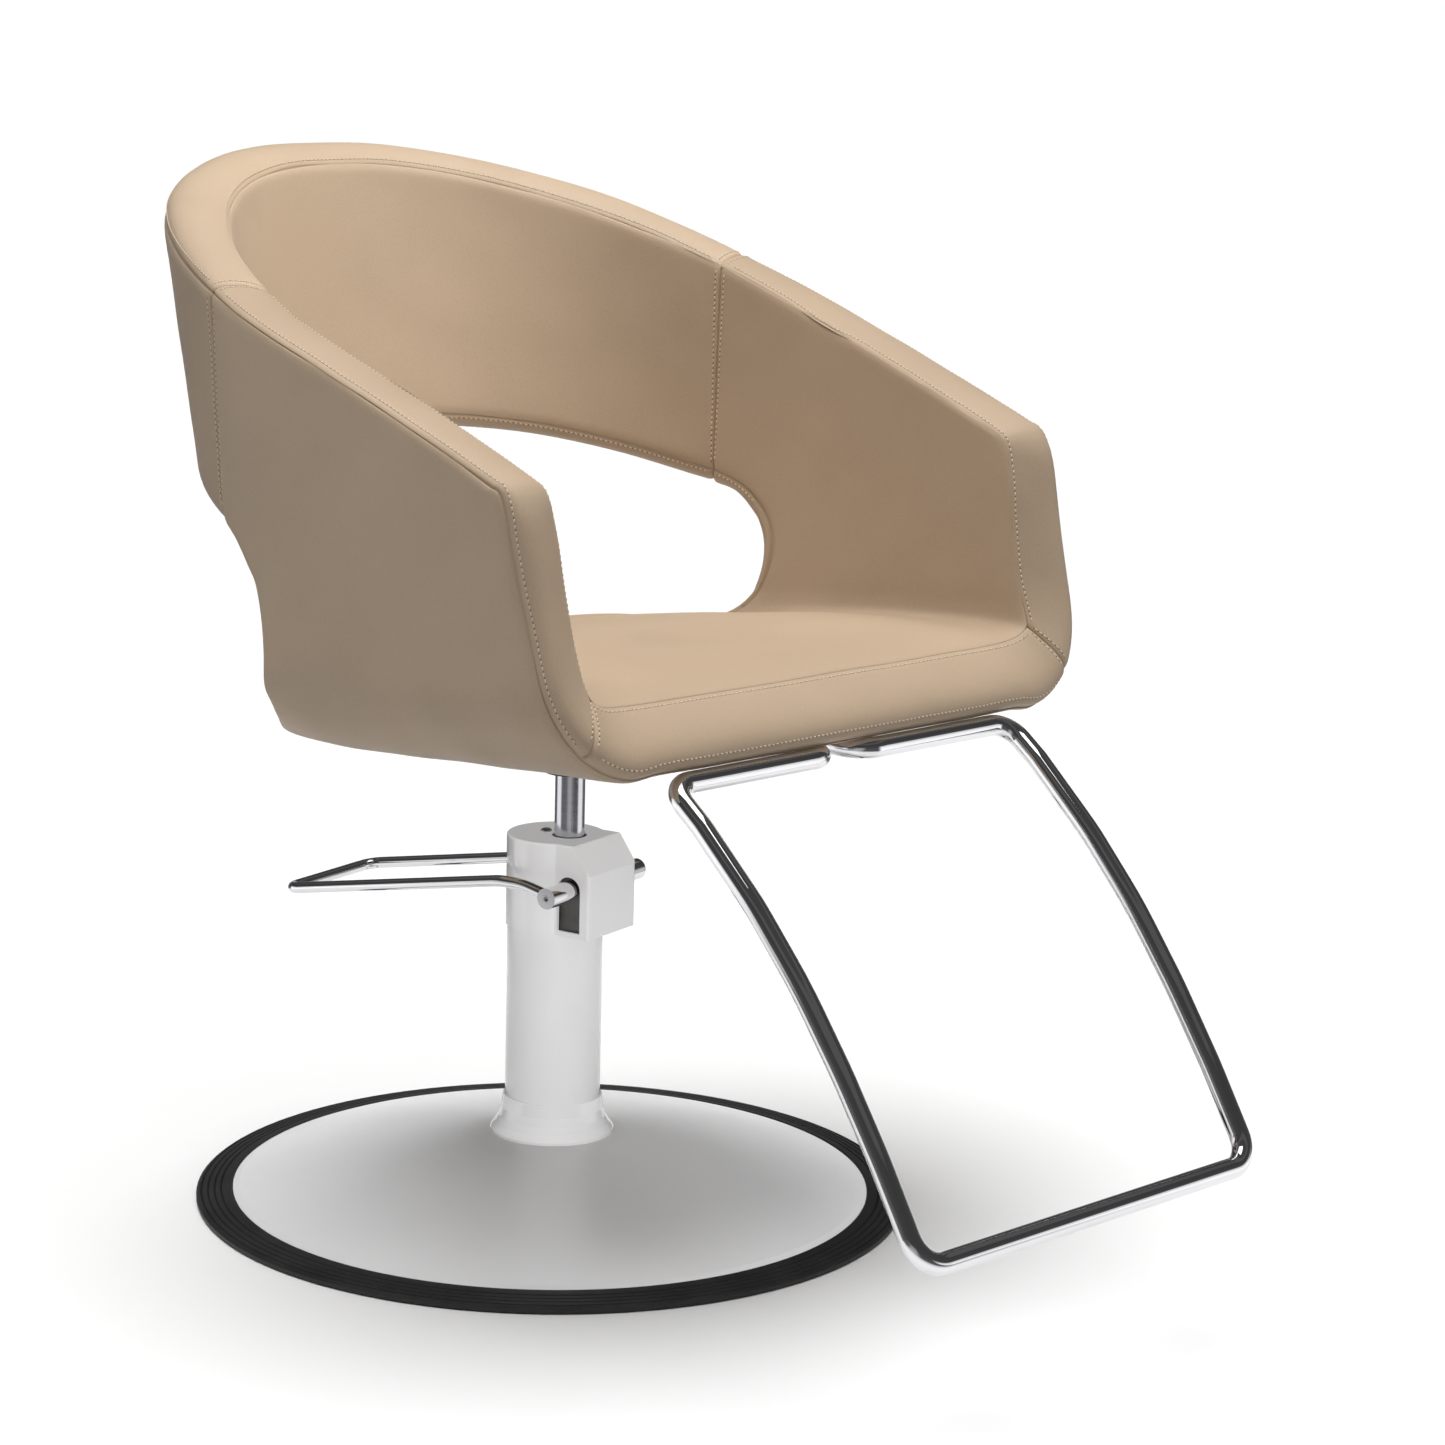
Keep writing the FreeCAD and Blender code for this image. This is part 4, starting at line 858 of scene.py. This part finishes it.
def area(name, loc, target, size, power, col=(1, 1, 1), sy=None):
    ld = bpy.data.lights.new(name, "AREA")
    ld.energy = power
    ld.color = col
    ld.size = size
    if sy:
        ld.shape = "RECTANGLE"
        ld.size_y = sy
    o = bpy.data.objects.new(name, ld)
    o.location = loc
    o.rotation_mode = "QUATERNION"
    o.rotation_quaternion = (Vector(target) - Vector(loc)).to_track_quat("-Z", "Y")
    bpy.context.scene.collection.objects.link(o)
    return o


def sunlight(name, towards, energy, angle, only=None, shadow=True):
    d = bpy.data.lights.new(name, "SUN")
    d.energy = energy
    d.angle = math.radians(angle)
    o = bpy.data.objects.new(name, d)
    o.rotation_mode = "QUATERNION"
    o.rotation_quaternion = Vector(towards).to_track_quat("-Z", "Y")
    bpy.context.scene.collection.objects.link(o)
    o.visible_glossy = False
    if only:
        col = bpy.data.collections.new(name + "_lit")
        for q in only:
            col.objects.link(q)
        o.light_linking.receiver_collection = col
        d.use_shadow = shadow
    return o


sunlight("soft_top", (0.02, -0.06, -1.0), 2.7, 52)
sunlight("soft_back", (-0.35, 0.93, -0.55), 1.45, 40, [back])
sunlight("soft_pump", (0.45, 0.75, -0.75), 1.85, 50,
         [NODES[q] for q in ("column_jacket", "column_collar", "head_cover")], False)
sunlight("soft_dish", (-0.7, 0.35, -0.75), 1.45, 60, [NODES["base_dish"]], False)
sunlight("soft_cover", (0.0, 0.0, -1.0), 1.9, 50, [NODES["head_cover"]], False)
area("overhead", (0.1, -0.2, 2.2), (0.0, 0.0, 0.5), 1.3, 9.0)

cam_d = bpy.data.cameras.new("camera")
cam_d.sensor_width = 36.0
cam_d.sensor_fit = "HORIZONTAL"
cam_d.lens = 3900.690395322639 / 1445.0 * 36.0
cam_d.clip_start, cam_d.clip_end = 0.05, 400.0
cam = bpy.data.objects.new("camera", cam_d)
backv = Vector((-0.6925135710071668, -0.6924996032943341, 0.20216145381375641))
rightv = Vector((0.7104292453925191, -0.7033488945723455, 0.024302670529707728))
upv = Vector((0.12536044536422836, 0.1604513382339001, 0.979050625247251))
rot = Matrix((rightv, upv, backv)).transposed()
cam.matrix_world = Matrix.Translation((-2.1902037, -2.3706746, 1.0862019)) @ rot.to_4x4()
bpy.context.scene.collection.objects.link(cam)
bpy.context.scene.camera = cam
